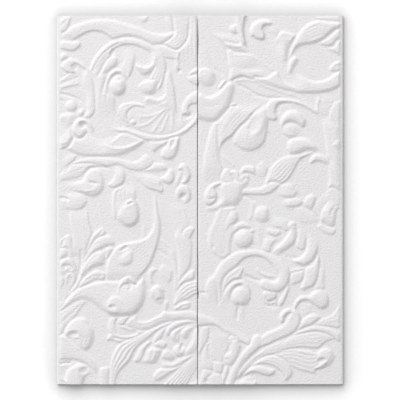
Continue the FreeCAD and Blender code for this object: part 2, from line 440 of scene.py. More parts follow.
def great_ring(field):
    """The great ring that the twin stems carry, with its fluted leaf, its hooks and the big bud inside."""
    field.lobe(
        ((-57, 44), (-56.8, 52), (-57, 60), (-58, 66), (-60.3, 70), (-58.5, 76), (-55, 80.9),
         (-50, 85.3), (-45, 87.6), (-40, 88.6), (-36, 88.3), (-32, 87.2), (-28, 85.4), (-23.5, 82),
         (-20, 78)),
        ((-46, 44), (-46, 50), (-46.5, 56), (-48.5, 64), (-50.5, 70), (-49, 75), (-48.4, 79.5),
         (-46, 82.6), (-41, 84.3), (-36, 84.1), (-31, 82.4), (-28, 80.5), (-26, 78)),
        rise=1, steep=(2, 0.7), fade=(14, 6))
    field.veins(
        (((-58.8, 68.5), (-56.3, 74), (-53, 78.6), (-48.5, 82.6), (-43, 85.5)),
         ((-57.3, 69), (-54.8, 73.6), (-52, 77.4), (-49, 80.4)),
         ((-55.9, 69.2), (-53.8, 73), (-51.5, 76.4), (-50, 78))),
        rise=-0.45, width=0.9)
    field.hollow((-47.6, 80.4), 2.6, 0.6, squash=0.6, turn=60)
    field.lobe(
        ((-43, 84), (-42.5, 79), (-41.6, 75.5), (-42.2, 73), (-44.2, 71.8), (-42, 69), (-40.6, 66)),
        ((-35.8, 83), (-35.4, 78), (-35.9, 74), (-36.7, 70.3), (-38.3, 67.2), (-40.2, 65.3)),
        rise=0.9, steep=(3.5, 0.8), fade=(9, 0))
    field.vein(((-40.5, 75.5), (-41.3, 73.6), (-43, 72.4)), rise=0.25, width=1)
    field.vein(((-39, 73.5), (-40, 71), (-41.5, 69.3)), rise=-0.15, width=0.8)
    field.lobe(
        ((-55.5, 66), (-54, 70), (-52, 73.7), (-49.7, 76.9), (-47.5, 78.2), (-45.3, 77.9), (-44.1, 76.3)),
        ((-52.5, 66.5), (-50.3, 69), (-47.7, 71), (-45.2, 72.9), (-44.1, 74.8), (-43.9, 76)),
        rise=1.5, steep=(1.2, 2.4), fade=(3, 0), roundness=0.6, wide=6)
    field.lobe(
        ((-29, 84.5), (-26.8, 80.5), (-25.7, 77), (-25.2, 73), (-26.3, 69), (-27.2, 65), (-26, 61.5)),
        ((-23, 86), (-21.3, 81.6), (-19.6, 78), (-18.5, 74), (-18.7, 69.5), (-19.8, 65), (-21.2, 61.5),
         (-23, 59.5)),
        rise=0.95, steep=(1.2, 0.7), fade=(9, 0))
    field.lobe(
        ((-25.5, 77.5), (-25.8, 75.3), (-27.2, 73.1), (-30.3, 72.3), (-34.4, 73.8)),
        ((-22.5, 77.5), (-23, 73.4), (-25, 70.6), (-27.7, 68.4), (-30, 67.6), (-32.4, 68.4),
         (-34.6, 71.6)),
        rise=1.4, steep=(1, 2.2), fade=(9, 0), roundness=0.4, cut=False)
    field.vein(
        ((-25, 78), (-25, 75), (-27, 72.4), (-30.2, 71.6), (-33.6, 73)),
        rise=0.45, width=2, taper=1.2)
    field.veins(
        (((-23.6, 74), (-25.2, 70), (-28, 66.4)), ((-22.6, 73.5), (-23.8, 69), (-26.3, 65)),
         ((-21.5, 73), (-22.4, 68), (-24.6, 62.8)), ((-20.4, 72), (-21, 67), (-22.8, 61.8))),
        rise=-0.3, width=0.8, taper=1.5)
    field.lobe(
        ((-24, 65.3), (-27.2, 65), (-30.5, 64.4), (-33, 62.6), (-35, 60.8)),
        ((-22.3, 65), (-23.1, 61.5), (-24.1, 58.5), (-27.5, 56.9), (-31, 58), (-34.3, 60.2)),
        rise=1.5, steep=(1, 3.2), fade=(2, 5), roundness=0.4)
    field.lobe(
        ((-54, 49), (-53.4, 54), (-53, 58), (-51.8, 63), (-50.2, 67.5), (-47.8, 70.5), (-44.8, 71.6),
         (-42, 71), (-40, 68.5), (-39.5, 65)),
        ((-51, 49), (-51, 53), (-50.5, 57), (-49.7, 61), (-48.4, 65), (-46.5, 67.8), (-44.3, 68.8),
         (-42.7, 67.7), (-42, 65)),
        rise=1.1, steep=(1.4, 1.2), fade=(20, 0))
    field.vein(((-49.4, 61.5), (-48.3, 65.6), (-46.2, 68), (-43.4, 68.4)), rise=-0.5, width=1.3, taper=1)
    field.knob((-44.7, 61.9), 5.7, rise=0.7, squash=0.84, turn=80)
    field.lobe(
        ((-45.5, 67.4), (-47.7, 66.4), (-49.2, 63.5), (-49.5, 61), (-48.4, 58.5)),
        ((-43.6, 67.2), (-41.2, 65), (-40.2, 61.5), (-41, 58.6), (-43, 57), (-46, 56.9)),
        rise=1.2, steep=(5, 3.4), roundness=0, upon=True)
    field.vein(((-46.5, 65), (-44.5, 64.8), (-42.7, 66)), rise=-0.35, width=0.9, taper=0.8)
    field.vein(((-45.5, 66.6), (-43.5, 66.3)), rise=0.4, width=0.8, taper=0.8)


def seam_leaves(field):
    """The leaves that fall from the top edge beside the seam."""
    field.lobe(
        ((-34.5, 99.5), (-34, 98.2), (-32.6, 97.2)),
        ((-28, 101), (-28.2, 98.7), (-29.3, 97), (-31, 96.5), (-32.5, 96.9)),
        rise=0.6, steep=(2, 0.5), fade=(2, 0))
    field.lobe(
        ((-27, 85), (-20, 84.3), (-12, 83.5)), ((-22, 77.8), (-17, 77), (-11.5, 76.3)),
        rise=0.7, steep=(2, 0.4), fade=(4, 0))
    field.lobe(
        ((-18.4, 102), (-18.6, 98), (-18, 95.5), (-16, 93), (-14.5, 91.8)),
        ((-15, 102), (-14.9, 98), (-14.4, 95), (-14.2, 92)),
        rise=0.8, steep=(0.8, 0.8))
    field.lobe(
        ((-14.8, 102), (-14.1, 96), (-13.5, 92), (-12.6, 88), (-12, 84.5), (-11.9, 81.5), (-12.8, 78),
         (-12.6, 74), (-12.9, 70.5)),
        ((-1, 102), (-1, 90), (-1, 78), (-1, 69)),
        rise=1.15, steep=(0.8, 1.5), fade=(0, 16), roundness=0.15)
    field.vein(((-12.1, 81.5), (-12.5, 78), (-12.4, 74), (-12.6, 71.2)), rise=0.4, width=1.5, taper=1)
    field.lobe(
        ((-14.8, 102), (-14.1, 96), (-13.6, 92), (-14.6, 89), (-17, 86.8), (-20, 85.1)),
        ((-6, 102), (-6.2, 94), (-6.9, 88.5), (-7.8, 86.2), (-9.7, 83.9), (-11.8, 82), (-13.4, 81.7),
         (-16, 82.6), (-18.3, 84), (-19.9, 84.9)),
        rise=1.1, steep=(0.9, 0.6), fade=(11, 0))
    field.veins(
        (((-11, 92), (-12, 88), (-16.5, 85.3)), ((-9.5, 92), (-10.7, 87.2), (-15, 84)),
         ((-8, 92), (-9.2, 86.8), (-13, 83.2))),
        rise=-0.25, width=0.8)
    field.veins(
        (((-10, 82), (-10.5, 79), (-10.2, 75.5)), ((-7.9, 87), (-8.2, 80), (-7.6, 75)),
         ((-5.6, 97), (-6.1, 86), (-5.8, 75)), ((-3.6, 99), (-4, 86), (-3.5, 76))),
        rise=-0.22, width=0.9, taper=4)
    field.hollow((-11.2, 70.2), 1.1, 0.9)


def fan_leaf(field):
    """The fanned leaf below the great ring, with its long fall from the ring and the curl at its left."""
    field.lobe(
        ((-12, 44), (-16, 50), (-22, 51), (-28, 50.5), (-36, 52), (-42, 50), (-43, 45), (-40.5, 40)),
        ((-8, 40), (-13, 37), (-18, 35.5), (-23, 35.3), (-28, 36), (-33, 38), (-38, 40)),
        rise=0.4)
    field.veins(
        (((-34, 45), (-27, 45.6), (-21, 48), (-17, 52)),
         ((-35, 39.6), (-29, 41), (-24, 44.7), (-17.5, 50.5)),
         ((-26, 36), (-22, 42.5), (-18, 48.5), (-16, 53)), ((-21, 36.5), (-19, 42), (-16.5, 48)),
         ((-15, 38), (-15, 43), (-15.3, 49))),
        rise=0.3, width=1)
    field.lobe(
        ((-18, 71.5), (-19.2, 66), (-19.6, 61), (-19.2, 57.7), (-20.5, 55.9), (-23.5, 55.1),
         (-26.5, 56), (-28.8, 56.1), (-30.1, 54), (-29.8, 51)),
        ((-16.3, 71.5), (-15.2, 66), (-14.1, 61), (-13.4, 55), (-13, 50), (-12.4, 45)),
        rise=1, steep=(1.6, 0.6), fade=(4, 5), wide=9)
    field.vein(
        ((-29.6, 53), (-28.8, 55.3), (-26.4, 55.2), (-23.6, 54.2), (-20.6, 55), (-19.2, 58)),
        rise=0.25, width=1.9, taper=1)
    field.vein(((-28.5, 51), (-25, 50.4), (-22, 51), (-18, 53.5)), rise=0.2, width=1)
    field.vein(((-24, 48.8), (-20, 50.5), (-17, 54)), rise=0.2, width=0.9)
    field.lobe(
        ((-38.3, 40.5), (-42, 43), (-44.3, 47), (-44, 50.7), (-41, 52.6), (-36, 53.3), (-32, 52.6),
         (-28.5, 50.3)),
        ((-37, 41.5), (-39.4, 44), (-39.4, 47), (-38, 49.3), (-35, 50.7), (-32, 50.3), (-28, 49)),
        rise=1, steep=(1.3, 0.9), fade=(3, 3))
    field.vein(((-42.5, 48.5), (-40.3, 50.7), (-36, 51.9)), rise=-0.2, width=0.8)
    field.knob((-36.2, 42.3), 1.7, rise=1)


def seam_volute(field):
    """The point of the volute that the seam cuts."""
    field.lobe(
        ((0, 72), (-2.5, 71.5), (-4.5, 70), (-5.9, 68.6)),
        ((0, 68.5), (-2, 68.6), (-4, 68.3), (-5.6, 67.7)),
        rise=1, steep=(0.9, 0.6))
    field.lobe(
        ((0, 68.4), (-2.5, 68.2), (-5, 67.6), (-8, 66.6)),
        ((0, 61.8), (-2.5, 62.6), (-5.5, 64.4), (-7.8, 66)),
        rise=0.9, steep=(1.5, 0.7), fade=(0, 3))


def seam_hook(field):
    """The left half of the hook that the seam cuts."""
    field.lobe(
        ((-9.8, 46), (-10, 50), (-8.8, 53.2), (-6.8, 56.2), (-4, 58.4), (-1, 59.6)),
        ((-5.6, 46.6), (-6.3, 49), (-5.9, 50.9), (-4.6, 52), (-1, 52.2)),
        rise=0.95, steep=(1.6, 0.7), fade=(1, 0))
    field.vein(((-8.4, 45.7), (-7, 45.3), (-5.4, 46), (-4.8, 47)), rise=-0.9, width=1.3, taper=0.8)
    field.vein(((-10.6, 46), (-10, 43.5), (-8, 41.6)), rise=0.4, width=1, taper=1)


def long_band(field):
    """The band that sweeps under the fan leaf to the seam, with its hanging leaves."""
    field.lobe(
        ((-27.3, 33), (-27.4, 30.5), (-26.8, 28)), ((-17, 33), (-18.5, 30.3), (-22, 28.3), (-24.6, 26.1)),
        rise=0.9, steep=(1, 1.2), roundness=0.3)
    field.lobe(
        ((-17.3, 34), (-18, 30), (-20.4, 27.5), (-21.3, 24.7)),
        ((-10.8, 36), (-10.9, 31.5), (-11.7, 27), (-13.8, 23.2), (-17, 21.6), (-20, 22.3)),
        rise=1.35, steep=(1.3, 1.8), roundness=0.5)
    field.hollow((-14.6, 31), 3.6, 0.75, squash=0.42, turn=68)
    field.vein(((-12.3, 35), (-12.7, 30.5), (-14.3, 27.6)), rise=0.3, width=1)
    field.lobe(
        ((-51, 43.5), (-48.5, 41.6), (-45, 39.8), (-41, 39.3), (-37, 38.2), (-33, 37), (-28, 35.8),
         (-23, 35.3), (-18, 35.5), (-13, 37), (-9, 39.3), (-6, 41.5), (-3.5, 44.5), (-1.5, 47)),
        ((-50, 39.5), (-46, 37.2), (-43, 36.6), (-40, 36.6), (-36, 35), (-32, 33.4), (-29, 32.3),
         (-24, 32.1), (-20, 32.5), (-15, 34), (-11, 35), (-7, 37.2), (-4, 39.8), (-1.5, 42)),
        rise=0.95, fade=(9, 0))


def left_curls(field):
    """The long hooked stem, with a round concave leaf, an eyed curl and a hollow leaf on it."""
    field.lobe(
        ((-76, 36), (-72, 38), (-66, 38), (-60, 36), (-54, 33), (-48, 34.5), (-42, 35), (-36, 34),
         (-29.7, 32)),
        ((-73, 27.6), (-70, 26.2), (-67, 24.8), (-63.5, 23.9), (-55, 23.5), (-48, 23.6), (-44, 24),
         (-40, 25.2), (-36, 27), (-33, 28.8), (-29.8, 31.7)),
        rise=1.15, steep=(9, 2.2), fade=(2, 0), roundness=0.4, wide=9)
    field.veins(
        (((-70, 31), (-66, 27.5), (-61, 25.2)), ((-67, 32), (-62, 28), (-55, 25.5)),
         ((-63, 32), (-57, 28.2), (-49, 26.2))),
        rise=-0.08, width=0.9)
    field.lobe(
        ((-54, 30.6), (-51, 31.2), (-48, 32.3), (-45, 34.6), (-43, 36.2), (-41, 36.6), (-37, 35.6),
         (-33, 33.9), (-29.5, 32.4)),
        ((-53, 24.5), (-48, 23.6), (-44, 24), (-40, 25.2), (-36, 27), (-33, 28.8), (-29.8, 31.7)),
        rise=1.2, steep=(1.3, 2.4), fade=(4, 0), wide=7, cut=False)
    field.lobe(
        ((-51, 30.8), (-48, 31.5), (-45, 33.6), (-43, 35.2), (-40.5, 35.5), (-36, 34.2), (-32, 32.6)),
        ((-50.5, 29.6), (-47.5, 28.6), (-44, 28.2), (-40, 28.7), (-36, 30.2), (-32.5, 31.8)),
        rise=-0.45, steep=(4, 0.9), roundness=0)
    field.vein(
        ((-52, 29.8), (-48, 28.2), (-44, 27.7), (-40, 28.2), (-36, 29.7), (-32, 31.6)),
        rise=0.22, width=1.1)
    field.lobe(
        ((-79, 43.5), (-76.5, 46), (-73, 47.3), (-68.5, 47.6), (-65, 46)),
        ((-79, 27.8), (-75.5, 27.6), (-72, 28.7), (-69.8, 31.3), (-68.4, 35), (-68.5, 39)),
        rise=0.95, steep=(2.2, 1.2), fade=(0, 5))
    field.hollow((-75.5, 38.5), 7.5, 0.7, squash=0.72, turn=65)
    field.vein(
        ((-78.8, 35), (-77.6, 31.9), (-75, 30.8), (-72.3, 31.7), (-70.6, 34.4), (-69.9, 38)),
        rise=0.3, width=1.2)
    field.lobe(
        ((-56.5, 35), (-57.5, 39), (-59.5, 42.3), (-62, 44.2), (-65, 44.6), (-67.9, 43.1), (-69.7, 40),
         (-69.7, 37), (-68.2, 34.9), (-66, 33.6), (-63.6, 33.9), (-61.9, 35.6)),
        ((-59, 35), (-60, 38.5), (-61, 40.8), (-62.3, 42.2), (-64.2, 42.3), (-65.2, 41), (-64.4, 39.4),
         (-62.7, 39), (-61.6, 38.2), (-61.2, 36.8)),
        rise=1.4, steep=(1.7, 0.8), fade=(6, 0), roundness=0.4, wide=4)
    field.hollow((-63.2, 40.8), 2, 0.9, squash=0.75, turn=30)
    field.lobe(
        ((-77, 20), (-74, 23), (-71, 25.6)), ((-74, 16.6), (-70.3, 20), (-67.7, 22.3), (-66.8, 25)),
        rise=0.6, steep=(4, 0.8), fade=(4, 2))


def hooked_stem(field):
    """The stem with a round hook, the fluted leaf under it and the lobe that hangs from it."""
    field.lobe(
        ((-80, 13.5), (-76, 14.5), (-73, 17.2), (-70, 19.2), (-66, 20), (-58, 19.9), (-53, 19.2),
         (-47, 17.5)),
        ((-80, 10), (-75, 10.5), (-70, 11.5), (-65, 13), (-62.4, 15), (-60, 17.3), (-56, 18),
         (-52, 17.8), (-47.5, 17.2)),
        rise=0.7, steep=(1.5, 0.9))
    field.veins(
        (((-77, 13), (-72.5, 16.3), (-66, 18.2)), ((-77, 11.6), (-71, 14.4), (-63.5, 17)),
         ((-77, 10.8), (-70, 12.8), (-63, 15.2))),
        rise=-0.18, width=0.9)
    field.vein(
        ((-61.8, 15.4), (-59.8, 17.4), (-56, 18.1), (-51, 17.9), (-48.4, 17.4)),
        rise=-0.5, width=1.3)
    field.lobe(
        ((-72, 17), (-70, 19.6), (-66.5, 21.7), (-62, 22.9), (-56, 23.4), (-50, 23.2), (-44, 22.6),
         (-40, 21.6), (-36, 21), (-33, 22), (-31, 24), (-29.2, 25), (-27.3, 24.1), (-25.6, 22)),
        ((-73, 15), (-70, 18.6), (-67, 19.6), (-62, 19.9), (-56, 19.4), (-50, 18.2), (-46, 19),
         (-43, 18.6), (-39, 16.8), (-35, 15.9), (-31.5, 16), (-28.5, 17), (-26.2, 18.8), (-25.3, 20.8)),
        steep=(1.5, 1.1), roundness=0.45)
    field.lobe(
        ((-46.6, 19.5), (-46.7, 16.5), (-46.6, 13.5), (-47.8, 10.9), (-50, 8.4)),
        ((-41.5, 19.5), (-41.2, 17), (-40.5, 13.5), (-40.9, 10.5), (-42.2, 8.6), (-44, 7.4),
         (-46.5, 6.5), (-49.3, 7.3)),
        rise=1.15, steep=(1.4, 1.2), fade=(6, 0), roundness=0.5)


def left_lobes(field):
    """The hooked lobe at the left edge and the two rounder ones under it."""
    field.lobe(
        ((-80, 2.8), (-74, 3.2), (-68, 4.4), (-64, 3.6), (-61.8, 1.8)),
        ((-80, -4.5), (-74, -5.2), (-68.5, -5.6), (-65.5, -5.5), (-63.3, -4.2), (-61.4, -1.5)),
        rise=1, steep=(3.5, 1.5), fade=(14, 0), roundness=0.5)
    field.lobe(
        ((-75, 9.5), (-68, 10), (-63.4, 11.2), (-62.4, 13.6), (-60.6, 16.2), (-57.6, 17.3),
         (-54.6, 16.3)),
        ((-76, 4.8), (-73, 5.4), (-68, 5), (-64.5, 3.8), (-61.5, 2.3), (-58.5, 1.7), (-55.3, 2.6),
         (-52.8, 5), (-51.8, 8), (-52, 12), (-53.2, 14.8)),
        rise=1.15, steep=(1.8, 2.4), fade=(12, 0))
    field.vein(((-60.3, 9.9), (-57.8, 9.3), (-55.4, 8.9)), rise=-0.7, width=1, taper=1)
    field.vein(((-70, 5.4), (-65, 4.8), (-60.5, 4.9), (-57, 6), (-55.2, 8)), rise=0.3, width=1.3)
    field.vein(((-79, 0.2), (-76.5, 1.1), (-74.2, 1.1), (-72, 0.4), (-70.4, -0.9)), rise=-0.7, width=1.2)
    field.lobe(
        ((-80, -0.8), (-77.3, -0.8), (-75.6, -1.6)),
        ((-80, -4.4), (-77.6, -4.2), (-76, -3.2), (-75.3, -2)),
        rise=0.75, steep=(1, 0.8))


def berry(field):
    """The cupped berry and the broad leaf it hangs from."""
    field.lobe(
        ((-39, 9), (-42, 8), (-44.6, 6.6), (-46.4, 4.6), (-47.2, 1), (-47.4, -3), (-46.8, -7),
         (-45.4, -11)),
        ((-34, 9.5), (-34.2, 4), (-35, -1), (-36, -5), (-40, -11)),
        rise=0.8, steep=(0.9, 2.5), fade=(6, 4))
    for x in (-44.6, -42.2, -40, -37.6):
        field.vein(((x, 6.5), (x - 0.4, 2), (x - 0.2, -2)), rise=-0.16, width=0.8)
    field.vein(
        ((-43.6, 6.9), (-45.6, 5.4), (-46.7, 3), (-47.1, -1), (-46.8, -6), (-46, -11)),
        rise=0.5, width=1.1)
    field.lobe(
        ((-35, 0), (-39.5, -1), (-44, -3.5), (-45.7, -7), (-45.3, -10.5), (-43.4, -13)),
        ((-34, -1), (-32.9, -5), (-32.7, -9), (-33.9, -12.3), (-36.5, -14.3), (-39.5, -14.6),
         (-42.4, -13.8)),
        rise=1.8, steep=(3.5, 2.4), roundness=0.45, wide=6, cut=False)
    field.lobe(
        ((-44.2, -3.6), (-41.8, -2.7), (-40.2, -1), (-38.7, 0.2), (-36.9, 0.5), (-35, -0.5), (-34.2, -2)),
        ((-43.8, -4.4), (-41.5, -5.2), (-39.3, -5.2), (-37, -4.4), (-35, -3.2)),
        rise=0.75, steep=(0.9, 4), roundness=0, upon=True)
    field.hollow((-38.1, -1.8), 1.7, 0.8, squash=0.45, turn=27)
    field.hollow((-40.8, -3), 0.8, 0.6)


def middle_leaves(field):
    """The lobes between the hooked stem and the seam."""
    field.lobe(
        ((-36, 19), (-30, 19.8), (-25.5, 19.9), (-22, 20), (-19, 19.2), (-17, 16.8)),
        ((-36, 15.5), (-30, 15.3), (-25, 15), (-21.5, 15.2), (-18.5, 15.8)),
        rise=0.9, steep=(0.8, 3), fade=(4, 1))
    field.lobe(
        ((-40, 15.5), (-34, 15), (-30, 14.4), (-26, 13.7), (-22, 12.2), (-20.4, 11), (-20.2, 8)),
        ((-40, 12), (-34, 10.8), (-30, 7.6), (-27.6, 6), (-25, 5.4), (-22, 4.4), (-20.6, 4.1), (-20, 5.5)),
        rise=1, steep=(3, 0.8), fade=(16, 0))
    field.veins(
        (((-32, 12.5), (-27, 11), (-23, 9.6)), ((-31, 10.5), (-26.5, 9), (-22.5, 7)),
         ((-29, 8.5), (-26, 7.4), (-23, 5.8))),
        rise=-0.14, width=0.8)
    field.lobe(
        ((-17.6, 17.5), (-17.8, 15), (-19.3, 13.2), (-21.5, 12.3)),
        ((-15, 17.5), (-13.9, 14.5), (-13.7, 11.6), (-15, 9.3), (-17.3, 8.6), (-19.8, 9.6), (-21.4, 11.5)),
        rise=1.4, steep=(1.3, 1.6), fade=(2, 0), roundness=0.5)
    field.lobe(
        ((-9.8, 18), (-11.4, 15), (-12.8, 11.8), (-15, 7.4)),
        ((-9, 15), (-10.8, 11), (-12, 8), (-13.8, 5.5)),
        rise=0.75, steep=(0.8, 0.7), fade=(1, 3), flutes=1, groove=0.3)
    field.lobe(
        ((-12.1, 17), (-10.8, 19.2), (-8.9, 20), (-7.2, 19.2), (-6, 17.3), (-5.2, 15)),
        ((-11.6, 16.3), (-9.8, 15.9), (-9.3, 14.5), (-8.9, 12.4), (-9.4, 10.6), (-10.2, 9.3),
         (-9.3, 8.7), (-7.8, 8.9), (-6, 10.6), (-5.1, 13)),
        rise=1.25, steep=(1.1, 1), roundness=0.3)
    field.lobe(
        ((-13.5, -2), (-13.5, 3), (-12.6, 6.2), (-10.6, 8.1), (-8, 8.4), (-6, 7.2), (-5, 4.8), (-4.8, 2)),
        ((-10.8, -2), (-10.6, 1.2), (-10.4, 2.8), (-9.2, 3.4), (-8, 3), (-8.3, 1.5), (-9.3, 0),
         (-9.5, -1.2), (-8, -1.8), (-6.2, -0.9), (-5.1, 1)),
        rise=1.3, steep=(1.2, 0.8), fade=(8, 0), roundness=0.4)
    field.hollow((-9.6, 1.9), 1.9, 0.9, squash=0.65, turn=40)
    field.lobe(
        ((-19, 0), (-17, -8), (-14, -15), (-12, -22)),
        ((-9.5, -2), (-8.2, -5.5), (-6.8, -9), (-5.8, -12.5), (-6.5, -16), (-8, -21)),
        rise=0.4, steep=(5, 0.7), fade=(4, 5))
    field.vein(((-21, -13), (-19, -14.8), (-17, -17.5), (-15.5, -20)), rise=-0.2)


def paisley(field):
    """The stem that widens into a paisley leaf with a knob inside."""
    field.lobe(
        ((-26, 6), (-25.5, 0), (-25, -6), (-24.9, -11), (-25.7, -15), (-27.5, -18.5), (-30, -20.7),
         (-33.5, -21.9), (-38, -22.8), (-42, -23.8), (-45.5, -25.6), (-48, -28.8), (-50, -32.5),
         (-51, -36.5), (-51.2, -40), (-50.6, -45)),
        ((-23.5, 6), (-23.3, 0), (-22.7, -5), (-21.7, -9), (-21.2, -13), (-21.5, -18), (-22.4, -22.5),
         (-23.7, -27), (-25.6, -32), (-28, -36.5), (-30.3, -39.3), (-32.5, -42), (-34, -45)),
        rise=1, steep=(1.3, 1.6), fade=(12, 6), roundness=0.15, dish=0.12)
    for step in range(7):
        field.vein(
            ((-37 + step * 0.7, -28.3 - step * 1.7), (-31.5 + step * 0.5, -24.3 - step * 1.6),
             (-26.8 + step * 0.1, -20 - step * 1.7)),
            rise=-0.17, width=0.7)
    field.hollow((-41, -26.2), 3.2, 0.8, squash=0.36, turn=30)
    field.lobe(
        ((-45.5, -31), (-42.2, -29.5), (-40, -28), (-37.6, -27.1)),
        ((-46, -34), (-42.3, -35.6), (-39, -35.4), (-36.8, -33.9), (-36.1, -31.5), (-36.4, -28.4)),
        rise=0.85, steep=(2.2, 2.4), fade=(5, 0), roundness=0.2, upon=True)
    field.vein(((-30.3, -13), (-30.2, -16.5), (-29.9, -20)), rise=0.3, width=0.9)


def acanthus(field):
    """The upright acanthus spray at the left with four cut lobes."""
    field.lobe(
        ((-71, -3), (-70.9, -10), (-70.2, -15), (-69.4, -19), (-69, -24), (-68.5, -30)),
        ((-61, -3), (-60.3, -11), (-59.2, -15), (-58.7, -18), (-59.6, -22), (-61.3, -28), (-62.3, -33)),
        rise=0.6, steep=(0.9, 0.5), fade=(8, 6), roundness=0.1)
    field.vein(((-64, -12), (-63, -20), (-62.5, -28)), rise=0.12, width=1.2)
    field.lobe(
        ((-61.5, -27), (-60, -22.5), (-58.6, -19.4), (-56.3, -16.8), (-53.4, -14.9)),
        ((-60, -29.5), (-57, -25), (-54, -21.5), (-51.7, -19), (-51.3, -17), (-52.4, -15.2)),
        rise=0.95, steep=(0.9, 0.9), flutes=1, groove=0.3)
    field.lobe(
        ((-63, -33), (-61.5, -29.5), (-59.5, -25.6), (-56.7, -21.6), (-53.5, -19.7), (-50.5, -19.1),
         (-48.3, -19.9), (-46.8, -22), (-46, -25)),
        ((-61.5, -34), (-58.5, -29.8), (-56, -28), (-54, -26.8), (-52, -25.9), (-49.5, -25),
         (-46.8, -25.2)),
        rise=1.1, steep=(1.2, 2), roundness=0.4)
    field.vein(((-61.5, -32), (-59.3, -27.5), (-57, -24.4), (-54.5, -22.6)), rise=-0.25, width=0.8)
    field.lobe(
        ((-53.5, -32), (-52.7, -28.5), (-51.2, -26.3), (-49.2, -25.4), (-47.3, -26)),
        ((-52, -32.5), (-49.8, -31.2), (-48.2, -29.4), (-46.8, -27)),
        rise=1.1, steep=(0.9, 1.4), roundness=0.5)
    field.lobe(
        ((-64.8, -40), (-63.5, -36.5), (-61.3, -32.4), (-58.8, -29.8), (-56.2, -28), (-53.8, -27.6),
         (-52, -28.5), (-51.2, -30.5)),
        ((-63, -41.5), (-60.5, -38.7), (-58.5, -37.4), (-56.3, -36.4), (-54, -35.8), (-52, -34.8),
         (-51, -32)),
        rise=1.35, steep=(1.1, 2.8), roundness=0.55)
    field.vein(((-62.3, -38), (-60, -34), (-57.8, -31.6), (-55.5, -30.6)), rise=-0.2, width=0.8)
    field.lobe(
        ((-66, -47), (-64.5, -44.3), (-62.3, -42), (-59.7, -40), (-57.3, -38.5), (-55.3, -38),
         (-53.3, -38.8), (-51.6, -39.2)),
        ((-64.5, -47.5), (-61, -45.5), (-58, -44), (-55, -43.3), (-53, -43.3), (-51.6, -42.5),
         (-51.2, -40.3)),
        rise=1, steep=(1, 1.2))
    for step in range(4):
        field.vein(
            ((-63 + 1.9 * step, -44.8 + 0.2 * step), (-60.2 + 1.8 * step, -42.4 + 0.1 * step),
             (-57.4 + 1.6 * step, -40 - 0.1 * step)),
            rise=-0.4, width=0.8)
    field.vein(
        ((-65, -26), (-64.6, -31), (-64.9, -36), (-66, -40.5), (-68, -45.5), (-70.5, -50), (-74, -55)),
        rise=-0.45, width=1.1)
    field.vein(
        ((-62.5, -33), (-63.7, -37), (-64.8, -42), (-67, -46.3), (-70.5, -50.2), (-75, -55.5)),
        rise=0.4, width=0.9)


def edge_lobes(field):
    """Small lobes and hollows down the left edge."""
    field.lobe(
        ((-80, -24), (-77.5, -22.3), (-75.2, -21), (-73.2, -19.4), (-71, -18.6), (-69.3, -19.5),
         (-68, -22)),
        ((-80, -28), (-76, -31), (-71, -32), (-67, -30), (-66, -26)),
        rise=0.75, steep=(1, 6), roundness=0.1)
    field.vein(((-73.6, -20.8), (-74.6, -23), (-75, -25.8)), rise=-0.7, width=1.3, taper=1)
    field.veins(
        (((-69.9, -18.6), (-69.3, -20), (-68.8, -21.8)), ((-66.9, -24.2), (-66.7, -25.5), (-67.1, -26.9))),
        rise=-0.6, width=1.2, taper=1)
    field.vein(((-65.4, -25.8), (-65.7, -27.8)), rise=0.4, width=1.2, taper=1)
    field.lobe(
        ((-79, -27.5), (-75.5, -26.3), (-73.5, -26), (-71.7, -27)),
        ((-79, -32), (-76, -31.8), (-73.6, -31.5), (-71.8, -30.5), (-71.3, -28.5)),
        rise=1.1, steep=(1, 1.8), fade=(3, 0), roundness=0.5)
    field.lobe(
        ((-79, -38), (-77, -34.8), (-75.2, -32.8), (-73, -31.4), (-71, -31), (-69, -32.2), (-67.5, -35)),
        ((-79, -44), (-74, -41), (-70, -40), (-67, -39)),
        rise=0.9, steep=(1.1, 6), roundness=0.2)
    field.vein(
        ((-74.6, -36.9), (-73.2, -35.8), (-71.6, -35.6), (-70.4, -36.6)),
        rise=-0.8, width=1.8, taper=1)
    field.vein(((-70, -37.6), (-68.9, -39.4), (-68.3, -42), (-67.9, -45)), rise=0.5, width=1.1, taper=1)
    field.vein(
        ((-72.6, -45), (-72.2, -42), (-71.2, -40.4), (-70, -40.7), (-69.4, -42)),
        rise=0.6, width=1.1, taper=1)
    field.lobe(
        ((-80, -42), (-77, -41.2), (-74.5, -41.2), (-73, -43)),
        ((-80, -50), (-76, -49), (-74, -46), (-72.8, -44)),
        rise=0.7, steep=(1, 2.5))


